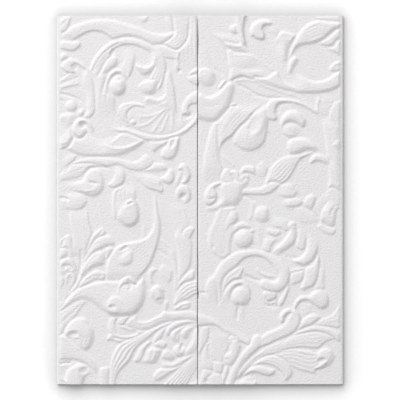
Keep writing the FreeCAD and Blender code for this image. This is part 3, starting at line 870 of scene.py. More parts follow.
def bowl_stem(field):
    """The heavy lower stem that swells into a bowl and curls over, with the drop leaf beneath it."""
    field.lobe(
        ((-79, -58), (-75, -55), (-71, -54), (-66, -53), (-62, -54.5)),
        ((-79, -76), (-76, -73), (-73, -69), (-70, -65.7), (-67.3, -63), (-65.5, -60), (-64, -57.6),
         (-61.3, -55.3)),
        rise=0.6, steep=(1.5, 0.8), flutes=3, groove=0.2)
    field.lobe(
        ((-79, -62), (-76, -58.5), (-73, -55), (-70, -51.5), (-66.5, -48.5), (-62, -46.4), (-57, -44.9),
         (-51, -44), (-45, -44), (-38, -44), (-33.5, -44.5), (-31, -42)),
        ((-79, -63.5), (-76.5, -61.3), (-73, -59), (-70, -57), (-67, -55.2), (-64, -54.3),
         (-60.5, -54.8), (-57.5, -56.6), (-54, -59.2), (-51, -61.2), (-48, -62.8), (-43.5, -63.6),
         (-38.5, -63.2), (-35, -61.6), (-32, -58.5), (-30.2, -55), (-29.4, -50.5), (-29.4, -45)),
        rise=1, steep=(1.3, 3), roundness=0.2, wide=7)
    field.lobe(
        ((-54, -58), (-49, -52), (-43, -47), (-36, -45), (-31, -43)),
        ((-54, -59.4), (-51, -61.4), (-48, -63), (-43.5, -63.8), (-38.5, -63.4), (-34.8, -61.8),
         (-31.8, -58.6), (-30, -55), (-29.2, -50.5), (-29.4, -45)),
        rise=0.9, steep=(12, 6), roundness=0, upon=True)
    field.lobe(
        ((-45.6, -53), (-45.6, -50), (-45.2, -48.3), (-44.1, -45.3), (-42.2, -42.7), (-39.8, -41.2),
         (-37.6, -41.2), (-35.8, -42.6), (-34.4, -44.6)),
        ((-43.6, -53), (-43.5, -50), (-43.1, -48.2), (-42, -46.3), (-40.2, -45.5), (-38.3, -45.2),
         (-36.6, -45.9), (-35, -46)),
        rise=1.65, steep=(1.2, 0.7), fade=(3, 0), roundness=0.2, cut=False)
    field.vein(
        ((-39.5, -43), (-38.2, -44.3), (-36.6, -45.4), (-34.8, -46), (-33.6, -44.8), (-32.4, -42.6)),
        rise=-0.8, width=1.2, taper=1)
    field.vein(
        ((-39.5, -45.6), (-38, -46.3), (-37.5, -47.6), (-38.4, -48.4)),
        rise=-0.8, width=1.1, taper=0.8)
    field.vein(((-34, -46.2), (-32.8, -44), (-31.4, -42)), rise=0.4, width=1.1, taper=1)
    field.lobe(
        ((-48.5, -62), (-50.2, -60), (-50.4, -56.8), (-49.3, -53.9), (-47.3, -52.3), (-45, -52.3),
         (-42.5, -53.5)),
        ((-47, -62.4), (-44.5, -61.8), (-42.2, -59.3), (-41.4, -56.5), (-41.8, -54.4)),
        rise=0.6, steep=(1.2, 4), roundness=0, upon=True)
    field.hollow((-47.5, -57.9), 2.5, 1.4, squash=0.5, turn=8)
    field.vein(((-49.6, -60), (-47.6, -60.8), (-45.6, -60.4), (-45, -59)), rise=0.5, width=1, taper=1)


def shell_hook(field):
    """The blunt curl in the lower left corner, the band under it and the ball at the bottom edge."""
    field.lobe(
        ((-76, -72.5), (-72, -73.8), (-69, -74.6), (-66, -73.5), (-64, -74)),
        ((-76, -80), (-72, -82), (-68, -84), (-64, -86)),
        rise=0.55, steep=(1, 3), roundness=0, cut=False)
    field.lobe(
        ((-79, -74), (-76, -73.5), (-74, -73.8), (-70, -76.5), (-67, -78.8), (-64, -81.3), (-61, -84),
         (-58, -87), (-54, -92)),
        ((-79, -87), (-75, -86.7), (-70, -86.8), (-66, -87.6), (-62.5, -88.8), (-60, -90.5),
         (-57.8, -93), (-55.5, -96)),
        rise=0.95, steep=(1.1, 1.2), fade=(0, 5), roundness=0.4, wide=6)
    field.lobe(
        ((-66, -80), (-65.7, -78), (-66.3, -76), (-68.5, -75.4), (-71, -75), (-73, -73.8), (-73.9, -72),
         (-73, -70), (-71.2, -67), (-68.7, -64.8), (-65.5, -63.8), (-62.5, -64.2), (-60.5, -65.5)),
        ((-65, -81.2), (-63.5, -82), (-61.8, -82), (-59.8, -80.5), (-58, -77.5), (-57.2, -73.5),
         (-57.8, -69.5), (-59.5, -66.6)),
        rise=1.7, steep=(1, 3.6), roundness=0.5, wide=6, cut=False)
    field.vein(((-66.2, -75.4), (-65.6, -77.5), (-65.8, -80)), rise=0.4, width=1.8, taper=1)
    field.hollow((-68.9, -72.8), 3.4, 1.1, squash=0.62, turn=8)
    field.vein(((-72.5, -71), (-74.5, -72.6), (-77.5, -74.5)), rise=-0.4, width=0.9, taper=1)
    field.vein(
        ((-76, -73.8), (-70, -76.8), (-64, -81.6), (-60, -85.6), (-57.6, -89)),
        rise=0.3, width=1.1, taper=2)
    field.veins(
        (((-63, -73), (-63, -76), (-64.2, -79.5)), ((-61.2, -73), (-61.2, -76), (-62.6, -80))),
        rise=-0.2, width=1)
    field.lobe(
        ((-78, -88.5), (-74, -87.3), (-70, -86.9), (-66, -87.5), (-62.5, -88.9), (-59.8, -91),
         (-57, -94.3)),
        ((-78, -92), (-74, -92), (-70, -92), (-66, -93), (-63, -94), (-60, -95), (-57.5, -95.5)),
        rise=0.3, steep=(1, 3), fade=(0, 4))
    field.vein(
        ((-78, -89.7), (-75.5, -88.9), (-73, -88.4), (-70.8, -88.5), (-70.2, -87.6)),
        rise=-0.8, width=0.9, taper=0.8)
    field.lobe(
        ((-73.3, -103), (-73.4, -96.5), (-72, -92.5), (-69, -89.8), (-65.5, -88.8), (-62, -90),
         (-59.6, -92.6), (-57.4, -94.8)),
        ((-64.5, -103), (-63.3, -99), (-62.6, -97), (-61.5, -95.6), (-60, -94.6), (-57.5, -95.6)),
        rise=1.4, steep=(1.4, 1.3), fade=(0, 9), roundness=0.4, wide=4, cut=False)
    field.hollow((-63.2, -92.6), 3.2, 0.7, squash=0.7, turn=15)
    field.vein(((-77, -96), (-74, -97.7), (-71, -99.6)), rise=0.4, width=1.3)


def fan_spray(field):
    """The fan leaf at the bottom of the left leaf and the fluted curls above it."""
    field.lobe(
        ((-54.5, -101.5), (-54.8, -95), (-54.3, -91.5), (-52.5, -90.6), (-50, -90.6), (-48, -91.2)),
        ((-49.3, -101.5), (-49, -98), (-48.3, -95), (-47.5, -92.3)),
        rise=0.9, steep=(1.3, 0.7))
    field.lobe(
        ((-50.7, -75), (-49.9, -73.4), (-48.3, -72.4), (-46.7, -72.7), (-45, -73.2), (-40, -73.5)),
        ((-50.5, -76.4), (-48.5, -76.1), (-46.5, -76.4), (-44, -77.6), (-42, -77), (-39, -75.5)),
        rise=0.95, steep=(1.2, 0.9), fade=(0, 2))
    field.lobe(
        ((-49, -73), (-49.9, -69.5), (-49.6, -66), (-48.4, -64), (-46, -63.4), (-43, -63.5), (-38, -64),
         (-36, -66), (-30, -68)),
        ((-47.5, -74.5), (-42, -75.5), (-37, -75.3), (-33, -73.5), (-28, -71)),
        rise=0.85, steep=(1, 0.9), fade=(1, 6))
    for drop in (0, 1.6, 3.2, 4.8):
        field.vein(
            ((-47.4 + drop * 0.2, -66.5 - drop), (-44, -69 - drop * 0.8), (-39.5, -70.6 - drop * 0.6),
             (-33, -70.8 - drop * 0.35)),
            rise=-0.6, width=1)
    field.lobe(
        ((-45.2, -66.2), (-44.4, -64.6), (-42, -63.6), (-39.3, -63.2)),
        ((-44.8, -67.2), (-42.6, -67.9), (-40.6, -67.2), (-39.6, -65.8), (-38.6, -64)),
        rise=1.4, steep=(0.9, 1))
    for x in (-43.6, -42.4, -41.2):
        field.vein(((x + 0.9, -64.2), (x, -65.6), (x - 0.5, -67)), rise=-0.45, width=0.7, taper=0.8)
    field.vein(((-45.9, -64.2), (-45.2, -65.4), (-45, -66.8)), rise=-0.7, width=1.1, taper=0.8)
    field.lobe(
        ((-40.3, -66.5), (-38.8, -64.8), (-37, -63.5), (-34.6, -62.4), (-34.3, -64), (-33, -65.5),
         (-30, -65.9), (-27, -64.9), (-24, -63.4), (-21.5, -62.1), (-20.3, -60.7), (-19, -60.3),
         (-16, -60.7), (-12, -60.5), (-8, -59.8), (-4, -60.3), (-1.5, -61.5)),
        ((-40.5, -68), (-37.5, -69.6), (-33, -71), (-28, -70.7), (-24, -69), (-20, -67), (-16, -66.2),
         (-12, -65.3), (-7, -65.2), (-1.5, -66)),
        rise=0.95, steep=(1.2, 2.4))
    for drop in (0, 1.3, 2.6):
        field.vein(
            ((-39 + drop * 0.5, -65.6 - drop * 0.9), (-34, -67.6 - drop * 0.8), (-28, -67.4 - drop),
             (-22, -65 - drop * 0.9), (-14, -63.2 - drop * 0.6)),
            rise=-0.25, width=0.8)
    field.lobe(
        ((-49.5, -103), (-49.2, -96), (-48.9, -91), (-48.3, -87), (-47, -83), (-45.2, -79.7),
         (-42.7, -77.4), (-39.5, -76), (-35, -74.4), (-30, -71.7), (-25, -69.4), (-20, -67.5),
         (-14, -65.8)),
        ((-46, -103), (-45.8, -98), (-44.6, -94.4), (-42.3, -91.2), (-39.5, -88.7), (-37.5, -86),
         (-36, -82.5), (-34, -79.5), (-31, -77.3), (-27.5, -74.5), (-24, -71.5), (-20, -69), (-15, -67)),
        rise=1.05, steep=(1.2, 0.9), flutes=3, groove=0.4)
    field.lobe(
        ((-36, -87.3), (-35.2, -85), (-34, -82.7), (-32.6, -80), (-30.6, -78.2), (-28, -76.5)),
        ((-35.5, -88), (-33, -87.9), (-31.2, -85.5), (-30, -82), (-28.5, -79.5), (-26.5, -77.3)),
        rise=1, steep=(1, 0.9))
    field.lobe(
        ((-32.6, -87.3), (-30, -86.7), (-28.8, -85), (-28.6, -82.8), (-27.6, -81.1), (-25.8, -80.2),
         (-23.5, -80.2), (-20.6, -81.2)),
        ((-32.5, -88), (-29.8, -88.8), (-26.4, -89.1), (-23.6, -88), (-21.8, -85), (-20.6, -82)),
        rise=1.5, steep=(1.2, 3.4), roundness=0.5, wide=5)
    field.vein(
        ((-32, -87.2), (-29.2, -85.6), (-28.2, -82.8), (-26.4, -80.9), (-23, -80.8)),
        rise=0.35, width=1.7, taper=1)
    for x in (-26.2, -24, -22.2):
        field.vein(((x + 1, -81.5), (x + 0.6, -84), (x - 1.2, -87.5)), rise=-0.2, width=0.8)
    field.lobe(
        ((-25.5, -79.5), (-25.3, -76), (-24, -73), (-22, -71), (-19.5, -69.3)),
        ((-24.4, -78.5), (-22.6, -76.2), (-20.8, -74.8), (-19.6, -72), (-18.3, -69.7), (-16, -67.8)),
        rise=0.8, steep=(1, 1.3))
    field.lobe(
        ((-24.6, -77.8), (-22.5, -76.5), (-20, -76.6), (-18.3, -77.2)),
        ((-24.5, -79.9), (-22, -80), (-20, -80.7), (-18.7, -79.7), (-18.2, -78)),
        rise=1, steep=(0.8, 0.9))


def seam_fingers(field):
    """The four hanging fingers at the foot of the seam and the hooked sweep beside them."""
    field.lobe(
        ((-18.4, -74), (-18.9, -71.5), (-17.9, -69.2), (-16, -67.5), (-13.5, -66.2), (-10, -65.4),
         (-6, -65.2), (-1.5, -65.8)),
        ((-18, -74.3), (-16.3, -72.9), (-15, -71), (-13, -69.6), (-10.5, -68.3), (-6, -67.1),
         (-1.5, -66.8)),
        rise=1, steep=(1.1, 1.5))
    field.lobe(
        ((-14.5, -77), (-16, -74.5), (-15.8, -72.3), (-14, -70.6), (-11.5, -69.3), (-8, -68.2),
         (-4, -67.3), (-1.5, -67)),
        ((-13.8, -77.3), (-12, -77.3), (-10.9, -74.5), (-10.8, -71.8), (-9, -70), (-5, -68.7),
         (-1.5, -68.2)),
        rise=1.1, steep=(1.2, 3), roundness=0.3)
    field.vein(((-13, -77), (-13, -74), (-12, -71.5)), rise=-0.35, width=0.9)
    field.lobe(
        ((-9.5, -75.2), (-10.4, -73), (-10, -70.8), (-8.3, -69.5), (-5.5, -68.6), (-1.5, -68)),
        ((-8.8, -75.6), (-7, -75.3), (-5.8, -73.2), (-4.8, -71), (-3, -69.2), (-1.5, -68.6)),
        rise=1.3, steep=(1.2, 3.2), roundness=0.4)
    field.lobe(
        ((-9.7, -81.6), (-7.6, -80.8), (-5.8, -78.7), (-4.6, -76), (-3.8, -73), (-2.6, -70.5),
         (-1.2, -69)),
        ((-9.3, -84.8), (-6, -84.5), (-3.5, -83), (-1.2, -81)),
        rise=0.85, steep=(1.8, 4), cut=False)
    field.knob((-11.5, -81.9), 3.3, rise=1.1)
    field.vein(((-9.8, -79.2), (-10.3, -81)), rise=-1.2, width=1.3, taper=0.6)
    field.lobe(
        ((-21.4, -101), (-17, -97.3), (-13.5, -94), (-9.5, -89.5), (-4, -84.5)),
        ((-8, -101), (-6, -98), (-4, -94.5), (-1.2, -90)),
        rise=0.75, steep=(1.2, 0.9), fade=(0, 1), flutes=5, groove=0.5)
    field.lobe(
        ((-25.3, -98), (-25.6, -95.8), (-24.3, -93), (-22, -91.5), (-18.5, -90.8), (-14, -90.2),
         (-9, -88.2), (-4, -85)),
        ((-25, -98.6), (-22.5, -98.3), (-20.3, -97.3), (-16.5, -94.7), (-12, -91.8), (-8, -89),
         (-4, -85.6)),
        rise=1.1, steep=(1.6, 2.2), flutes=1, groove=0.15)
    field.lobe(
        ((-20.6, -84), (-20, -82), (-18.6, -80.9), (-16.7, -81.3), (-14.8, -83), (-13.7, -84.6)),
        ((-20.3, -86), (-18, -86.9), (-15.5, -87.2), (-13.6, -86)),
        rise=1.2, steep=(1.4, 2.4))
    field.lobe(
        ((-21.5, -86.5), (-18.5, -88), (-15, -88.3), (-12.3, -86.7), (-9, -85.2), (-5, -84)),
        ((-21.2, -90.9), (-18, -91.2), (-14, -90.8), (-10, -89), (-6, -86.3), (-4, -84.8)),
        rise=0.8, steep=(1.6, 0.9), fade=(2, 1))
    field.lobe(
        ((-7, -101), (-5.5, -99.3), (-3.5, -98.8), (-1.2, -97)), ((-6, -102), (-3, -102), (-1.2, -102)),
        rise=0.6)


def palmette(field):
    """The arched leaves, ball and column of leaves beside the seam."""
    field.vein(((-24, -26.3), (-20, -28.7), (-16.5, -31.2)), rise=-0.35, width=1.3)
    field.vein(((-22.5, -20.5), (-19, -23.3), (-15.5, -26.3), (-13, -29)), rise=0.22, width=1.2)
    field.lobe(
        ((-27, -46), (-28.3, -43), (-28.6, -40), (-27.6, -37.7), (-26, -36.5), (-24.2, -36.8),
         (-22.6, -38.2)),
        ((-24.5, -46), (-25.8, -42.8), (-25.6, -40.5), (-24.5, -39), (-22.8, -38.5)),
        rise=0.75, steep=(1.5, 0.9), fade=(2, 0))
    field.lobe(
        ((-21.8, -42.5), (-22.3, -39.5), (-22, -36.8), (-21, -35), (-19.8, -34.4), (-18, -35.6),
         (-15, -37.7)),
        ((-18, -46), (-16, -44), (-15, -41), (-14.5, -38.5)),
        rise=0.6, steep=(1.4, 0.9), fade=(3, 0))
    field.lobe(
        ((-18.5, -26), (-16.3, -31), (-15.3, -35), (-14.4, -39.5), (-13.8, -43), (-13.9, -46.5),
         (-14.8, -51)),
        ((-14, -26), (-13, -31), (-12.3, -36), (-11.9, -41), (-11.8, -45), (-12, -49)),
        rise=0.5, steep=(1.2, 0.9), fade=(3, 3))
    field.lobe(
        ((-20, -48), (-21.5, -46.6), (-23.5, -46.2), (-25.7, -47.2), (-26.9, -49.2), (-26.8, -51.4)),
        ((-19.4, -50), (-19.3, -53), (-20, -55.2), (-22, -55.9), (-24.3, -55.2), (-26, -53.4)),
        rise=1.5, steep=(1.4, 3.2), roundness=0.3)
    field.hollow((-21.9, -54), 2.1, 0.6, squash=0.6, turn=10)
    field.lobe(
        ((-19.6, -54), (-19.7, -57), (-19, -60.3)), ((-16.8, -54), (-16.9, -57), (-17.9, -60.6)),
        rise=0.8, steep=(0.7, 1.8), fade=(2, 0))
    field.lobe(
        ((-9.8, -20), (-9.3, -17), (-7.5, -15), (-5.3, -14.1), (-3.5, -14.6)),
        ((-7, -21), (-5.3, -20.5), (-4.2, -18.5), (-3, -16)),
        rise=1, steep=(1.5, 0.6), fade=(3, 0))
    field.lobe(
        ((-11.5, -14), (-13.7, -20), (-12.8, -25), (-12, -29.5), (-11.7, -34), (-12, -39), (-12.5, -45)),
        ((-6.5, -15), (-4.9, -20), (-4.3, -25), (-4.4, -30), (-5, -34.5), (-6.5, -37.8), (-8.5, -40.5),
         (-10, -43.5), (-11.7, -47)),
        rise=0.75, steep=(1.1, 0.8), fade=(6, 0))
    field.lobe(
        ((-9.8, -20), (-9.3, -17), (-7.5, -15), (-5.3, -14.1), (-3.5, -14.6)),
        ((-6.5, -22), (-5, -20.3), (-4.2, -18.3), (-3, -16)),
        rise=1, steep=(1.5, 0.6), fade=(3, 0))
    field.lobe(
        ((-13, -47.5), (-11.7, -45), (-10, -42.4), (-8.2, -40.4), (-6, -38.9), (-4.2, -37.9), (-3, -38)),
        ((-12.3, -48.5), (-10.3, -46), (-8, -44.5), (-5.7, -43.8), (-4, -43.2), (-3, -41.5), (-2.9, -39)),
        rise=0.95, steep=(1.4, 0.8))
    field.lobe(
        ((-14.5, -56), (-13, -51.5), (-11, -48), (-8.5, -45.6), (-5.5, -44.3), (-1.5, -43.6)),
        ((-13, -57), (-11, -55.3), (-8, -54.2), (-6, -53.5), (-4, -52), (-1.5, -50.8)),
        rise=0.9, steep=(1.3, 1.2), flutes=3, groove=0.35)
    field.lobe(
        ((-14.8, -59.5), (-13.4, -57.8), (-11, -56.2), (-8, -55.1), (-5.3, -55)),
        ((-14, -60), (-10, -60), (-6.8, -59.6), (-5.2, -57.8), (-5, -55.8)),
        rise=1.2, steep=(1.1, 2.4), roundness=0.4)
    field.vein(((-12, -58.9), (-9, -57.6), (-6, -57.2)), rise=-0.4, width=0.9)


def top_right_leaves(field):
    """Tall stem, comma volute and the leaves at the top of the right leaf."""
    field.lobe(
        ((-1.5, 84), (0, 78), (0.5, 72)), ((3.5, 84), (4.8, 78), (5.6, 72)),
        rise=0.3, fade=(4, 0), flutes=2)
    field.lobe(
        ((4, 92.5), (8, 91), (14, 90.5), (20, 90)),
        ((5, 91.2), (9, 87.8), (13, 84.3), (16, 82.2), (20, 80.7), (25, 80.2), (30, 80)),
        rise=0.75, steep=(4, 1.3), fade=(3, 5))
    field.vein(((14, 85), (17, 83.9), (20, 83.4), (23.7, 83.2)), rise=0.45, width=1.1)
    field.vein(((12, 87), (16, 85.4), (19, 85), (23, 85.2)), rise=-0.35, width=1.4)
    field.vein(((13, 83.5), (14.6, 80), (15.2, 76.5), (15.8, 73)), rise=-0.3, width=1.3)
    field.knob((18.9, 92.8), 2.9, rise=1, squash=0.85)
    field.lobe(
        ((19, 101.5), (19.6, 97), (20.6, 92), (21.9, 87), (24, 82)),
        ((26.6, 101.5), (24.7, 98.5), (24.1, 95), (24, 91), (24.6, 87.5), (25.8, 83)),
        rise=1.5, steep=(1.2, 1.2), fade=(0, 4), roundness=0.2)
    field.vein(((20.4, 101), (21, 95.5), (22.1, 89), (23.8, 83.5)), rise=0.4, width=1.7)
    field.lobe(
        ((34, 74), (30, 77.5), (26, 79.4), (22, 79.7), (18.5, 79.9), (17, 81), (15.4, 81.4)),
        ((30, 70), (24, 70), (20, 70), (16.5, 71.5), (15.4, 76.5), (15.1, 79.5)),
        rise=0.75, steep=(1.1, 1.1), fade=(8, 0), cut=False)
    field.lobe(
        ((36, 70.5), (28, 71), (22, 71.6), (18, 73), (16.7, 71.5), (16, 68.5), (15.6, 66), (16.1, 64.3)),
        ((38, 66.5), (30, 65.2), (26, 66), (22, 66.3), (18.7, 65.3), (16.7, 64.1)),
        rise=1, steep=(1.3, 1.5), fade=(7, 0), cut=False)
    field.vein(((7.5, 72), (10, 70), (13, 67.5)), rise=-0.3, width=1.3)
    field.vein(((26, 79.5), (30, 77.6), (35, 73.6), (40.5, 69.8)), rise=0.25, width=0.9)
    field.lobe(
        ((27.5, 88.5), (26.9, 91.5), (27.7, 94.5), (30.3, 97), (34, 98.2), (38, 97.5), (41, 95)),
        ((28.8, 88.6), (30.3, 87.5), (33, 86.9), (35, 87.4), (35.2, 90.5), (34.1, 92.8), (35, 94.6),
         (37.2, 94.9), (39.5, 94.2)),
        rise=1.3, steep=(1.8, 1.2), fade=(0.8, 3), roundness=0.2, wide=3, cut=False)
    field.lobe(
        ((37.5, 96), (40, 95.2), (42, 93.5), (43.3, 91.3)), ((37, 92), (40, 90), (41, 88), (41.5, 86.5)),
        rise=0.6, steep=(1.3, 0.8), fade=(3, 0), cut=False)
    field.lobe(
        ((40.5, 84), (41.5, 88), (43.5, 91.2), (46, 91.6), (49, 90.8), (52, 89.7)),
        ((43, 75), (47.2, 75.5), (47.9, 79), (48.6, 82.5), (50, 84.8), (52.3, 86.2)),
        rise=1.3, steep=(1.3, 3.4), fade=(5, 0), roundness=0.3)
    for step in range(4):
        field.vein(
            ((44.8 + 1.8 * step, 90.6 - 0.3 * step), (43 + 1.6 * step, 87.5), (42.5 + 1.5 * step, 82.5)),
            rise=-0.25, width=0.9)
    field.lobe(
        ((79, 100.5), (74, 100.3), (68, 99.8), (62, 99.3)),
        ((79, 96.8), (73, 97.1), (67, 97.8), (62, 98.7)),
        rise=0.5, steep=(0.9, 0.5))
    field.lobe(
        ((48.2, 76), (48.8, 80), (50, 84.5), (52, 88.3), (54, 91.4), (57, 94.4), (60.5, 96.7),
         (64, 97.7), (70, 97.1), (80, 96.5)),
        ((48.8, 75.8), (50.7, 79.8), (53, 82.6), (56, 84), (60, 84.6), (64, 85.7), (67, 87.2),
         (70, 89.7), (73, 92.2), (76, 93), (80, 93)),
        rise=1.25, steep=(1.8, 2.2), roundness=0.2, wide=5)
    for step in range(4):
        field.vein(
            ((55 + 0.8 * step, 90.5 - 1.4 * step), (60 + 0.8 * step, 93.4 - 1.6 * step),
             (66 + 0.8 * step, 95 - 1.5 * step)),
            rise=-0.2, width=1)
    field.lobe(
        ((65.2, 85.8), (68, 87.4), (71, 89.5), (73, 91.2), (74.6, 92.6), (79, 93)),
        ((66, 84.3), (68.5, 83.3), (71.5, 83.6), (73.4, 85.2), (74.3, 87), (79, 87.5)),
        rise=1, steep=(1.2, 1.8))
    field.lobe(
        ((67.5, 83.3), (71, 82.9), (73.4, 84), (74.3, 86), (76, 86.8), (79, 86.5)),
        ((69, 82.2), (71, 81), (74, 79.5), (76, 78.3), (79, 77)),
        rise=0.9, steep=(1.2, 1.2))


def top_right_stem(field):
    """The broad curved stem from the right edge with its small lobes, and the ring of the left berry."""
    field.lobe(
        ((28, 67), (33, 66.6), (36.3, 66.6), (38.5, 68), (40.5, 69.3), (42.3, 69.5), (43.2, 67.8),
         (45, 65.3), (49, 62.8), (55, 60)),
        ((28, 65.8), (31, 64.5), (34, 63.1), (38, 61.6), (42, 60.4), (46, 59.3), (50, 58.5), (55, 58)),
        rise=1.2, steep=(1.3, 2.8), fade=(2, 6), roundness=0.2, wide=6)
    field.lobe(
        ((51, 69.5), (54, 68.2), (57.5, 66.3), (61, 64.9), (65, 64.7), (69, 65.9), (72, 67.9),
         (75, 69.9), (79, 70.5)),
        ((46, 59.3), (50, 58.4), (56, 57.8), (62, 57.8), (67, 58.3), (72, 59.6), (76, 61.7), (79, 63.5)),
        rise=1.2, steep=(1.6, 2.2), fade=(9, 0), roundness=0.2, wide=6)
    field.lobe(
        ((47.5, 68), (47.7, 72), (48.5, 75.3), (50, 77.4), (51.8, 78), (53.5, 77.2)),
        ((51, 68), (50.9, 71), (51.7, 72.6), (53, 74.8), (54, 76.6)),
        rise=1.2, steep=(1.3, 2.6), fade=(3, 0))
    field.lobe(
        ((69.8, 70.6), (70.8, 72.7), (73, 74.8), (76, 75.5), (80, 75.3)),
        ((70.2, 70), (72.5, 69.6), (75, 70), (80, 70.5)),
        rise=1, steep=(1.2, 1.5))
    for drop in (0, 1.2):
        field.vein(
            ((78.5, 73.6 - drop), (74.5, 73 - drop), (72, 71.6 - drop * 0.6)),
            rise=-0.3, width=0.8)
    field.lobe(
        ((-2, 57.3), (1, 58), (3.5, 56.4), (6.5, 56.6), (9, 58), (12, 61), (14.5, 64)),
        ((-2, 44), (1, 43.2), (4, 42.4), (8.5, 42.6), (11, 44.6), (13.5, 47.3), (16, 50.2), (17.2, 54),
         (18.4, 58), (18.9, 62), (17.5, 65)),
        rise=1.4, steep=(2, 3.6), fade=(0, 2), roundness=0.1, wide=9)
    field.vein(((0, 51.8), (3.5, 50.8), (7.5, 51), (11, 52.7)), rise=-0.2, width=1.2)
    field.lobe(
        ((9.8, 61), (11.3, 63.3), (13, 65.2), (14.3, 65)), ((10.6, 60.2), (12.3, 62), (13.9, 63.8)),
        rise=1.1, steep=(0.9, 0.4))
    field.vein(
        ((18.4, 63.5), (20, 65), (23, 65.5), (27, 65.4), (30.5, 64.6), (34, 62.6), (38, 61), (42, 59.6),
         (46, 58.3), (51, 57)),
        rise=0.35, width=1.5)
    field.vein(((17, 64.6), (19, 65.9), (22, 67.2), (25, 67.2)), rise=-0.5, width=1, taper=1)
    field.vein(((20.5, 66.1), (24, 66.4), (27, 66), (29.5, 65.4)), rise=-0.5, width=0.9, taper=1)
    field.lobe(
        ((-1.6, 64.5), (-1.8, 68), (-0.4, 70.8), (2.5, 72), (5.8, 71.2), (8, 69), (8.8, 66.5)),
        ((-1.2, 64), (1, 62.4), (4, 61.4), (7, 62.3), (8.7, 65)),
        rise=1.5, steep=(1.8, 4.6), wide=9)
    field.hollow((1.4, 69.2), 1.4, 0.3, squash=0.4, turn=15)


def right_teardrop(field):
    """The long curved stem, the fluted leaf and the teardrop that hangs beside it."""
    field.lobe(
        ((20, 62), (26, 60), (32, 58), (40, 56.5), (50, 58), (56, 54.5), (62, 50), (66, 46)),
        ((22, 62), (26, 60.1), (29, 58.5), (32, 57), (35, 55.9), (38, 55.3)),
        rise=0.1)
    field.vein(
        ((20, 62.8), (23, 61.5), (26, 60), (29, 58.1), (32, 56.7), (35, 55.9), (39, 55.5), (45, 55.4)),
        rise=-0.5, width=1.1)
    field.vein(((48, 59.5), (52, 57), (56, 54), (60, 51), (65, 46.8)), rise=0.3, width=1.5)
    field.vein(((26, 56.6), (30, 56.6), (34, 56)), rise=-0.25, width=0.9)
    field.lobe(
        ((13, 52.5), (11, 46.5), (8.4, 43.5), (6, 39.5), (4.5, 34.5), (3.2, 29), (2, 23), (1.3, 17),
         (1.6, 8)),
        ((22, 52), (18, 46), (14, 40), (12, 34), (10.8, 28), (11, 22), (13, 16), (14, 8)),
        rise=0.9, steep=(1.4, 2.5), fade=(0, 12), roundness=0.4)
    field.vein(((11.7, 25), (13.5, 23), (16.5, 20.3), (19.3, 17.5)), rise=0.3, width=1.4)
    field.lobe(
        ((24, 53), (21, 52), (17, 50), (13, 46), (10.2, 41.5), (9.3, 37), (9, 32), (9.6, 28)),
        ((36, 54), (34, 51.3), (31, 49), (28, 46), (25.5, 42.8), (23, 41), (20, 37.7), (17.5, 34.7),
         (15, 33), (12.5, 30.7), (11.3, 28.5), (10.5, 26.4)),
        rise=1.1, steep=(3, 1.5), fade=(7, 0), roundness=0.1, cut=False)
    for step in range(5):
        field.vein(
            ((28 + step, 52.4 - 0.8 * step), (22.2 + 1.1 * step, 48.2 - 1.2 * step),
             (16.5 + 1.3 * step, 42.4 - 1.2 * step), (12.8 + 1.1 * step, 36.5 - 0.9 * step)),
            rise=-0.16, width=0.6)
    field.vein(((10.2, 42), (9.6, 38), (9.6, 33), (10.1, 28.5)), rise=-0.3, width=0.8)
    field.vein(((16.4, 50.9), (18.5, 51.1), (20.8, 51.7)), rise=-0.8, width=0.9, taper=0.8)
    field.lobe(
        ((31, 50.5), (27.5, 45.5), (24.8, 42.3), (22.5, 40.5), (19.8, 37.3), (18.2, 34), (18, 31),
         (19, 29.6)),
        ((38, 54), (37.8, 48), (37.2, 42.5), (36.5, 37), (35.5, 32), (33, 28.8), (29.5, 26.9),
         (25.5, 26.5), (22, 27.6), (19.6, 29.2)),
        rise=1.5, steep=(1.4, 1.8), fade=(4, 1), roundness=0.6, wide=7, cut=False)
    field.hollow((29, 40.2), 6.5, 0.5, squash=0.48, turn=68)
    field.vein(((26.8, 36), (29.5, 35.6), (32, 37.2), (33.8, 40.5), (34.2, 45)), rise=0.3, width=1.8)
    field.vein(((25.5, 38.8), (27.3, 38.6)), rise=-0.35, width=1.1, taper=0.8)


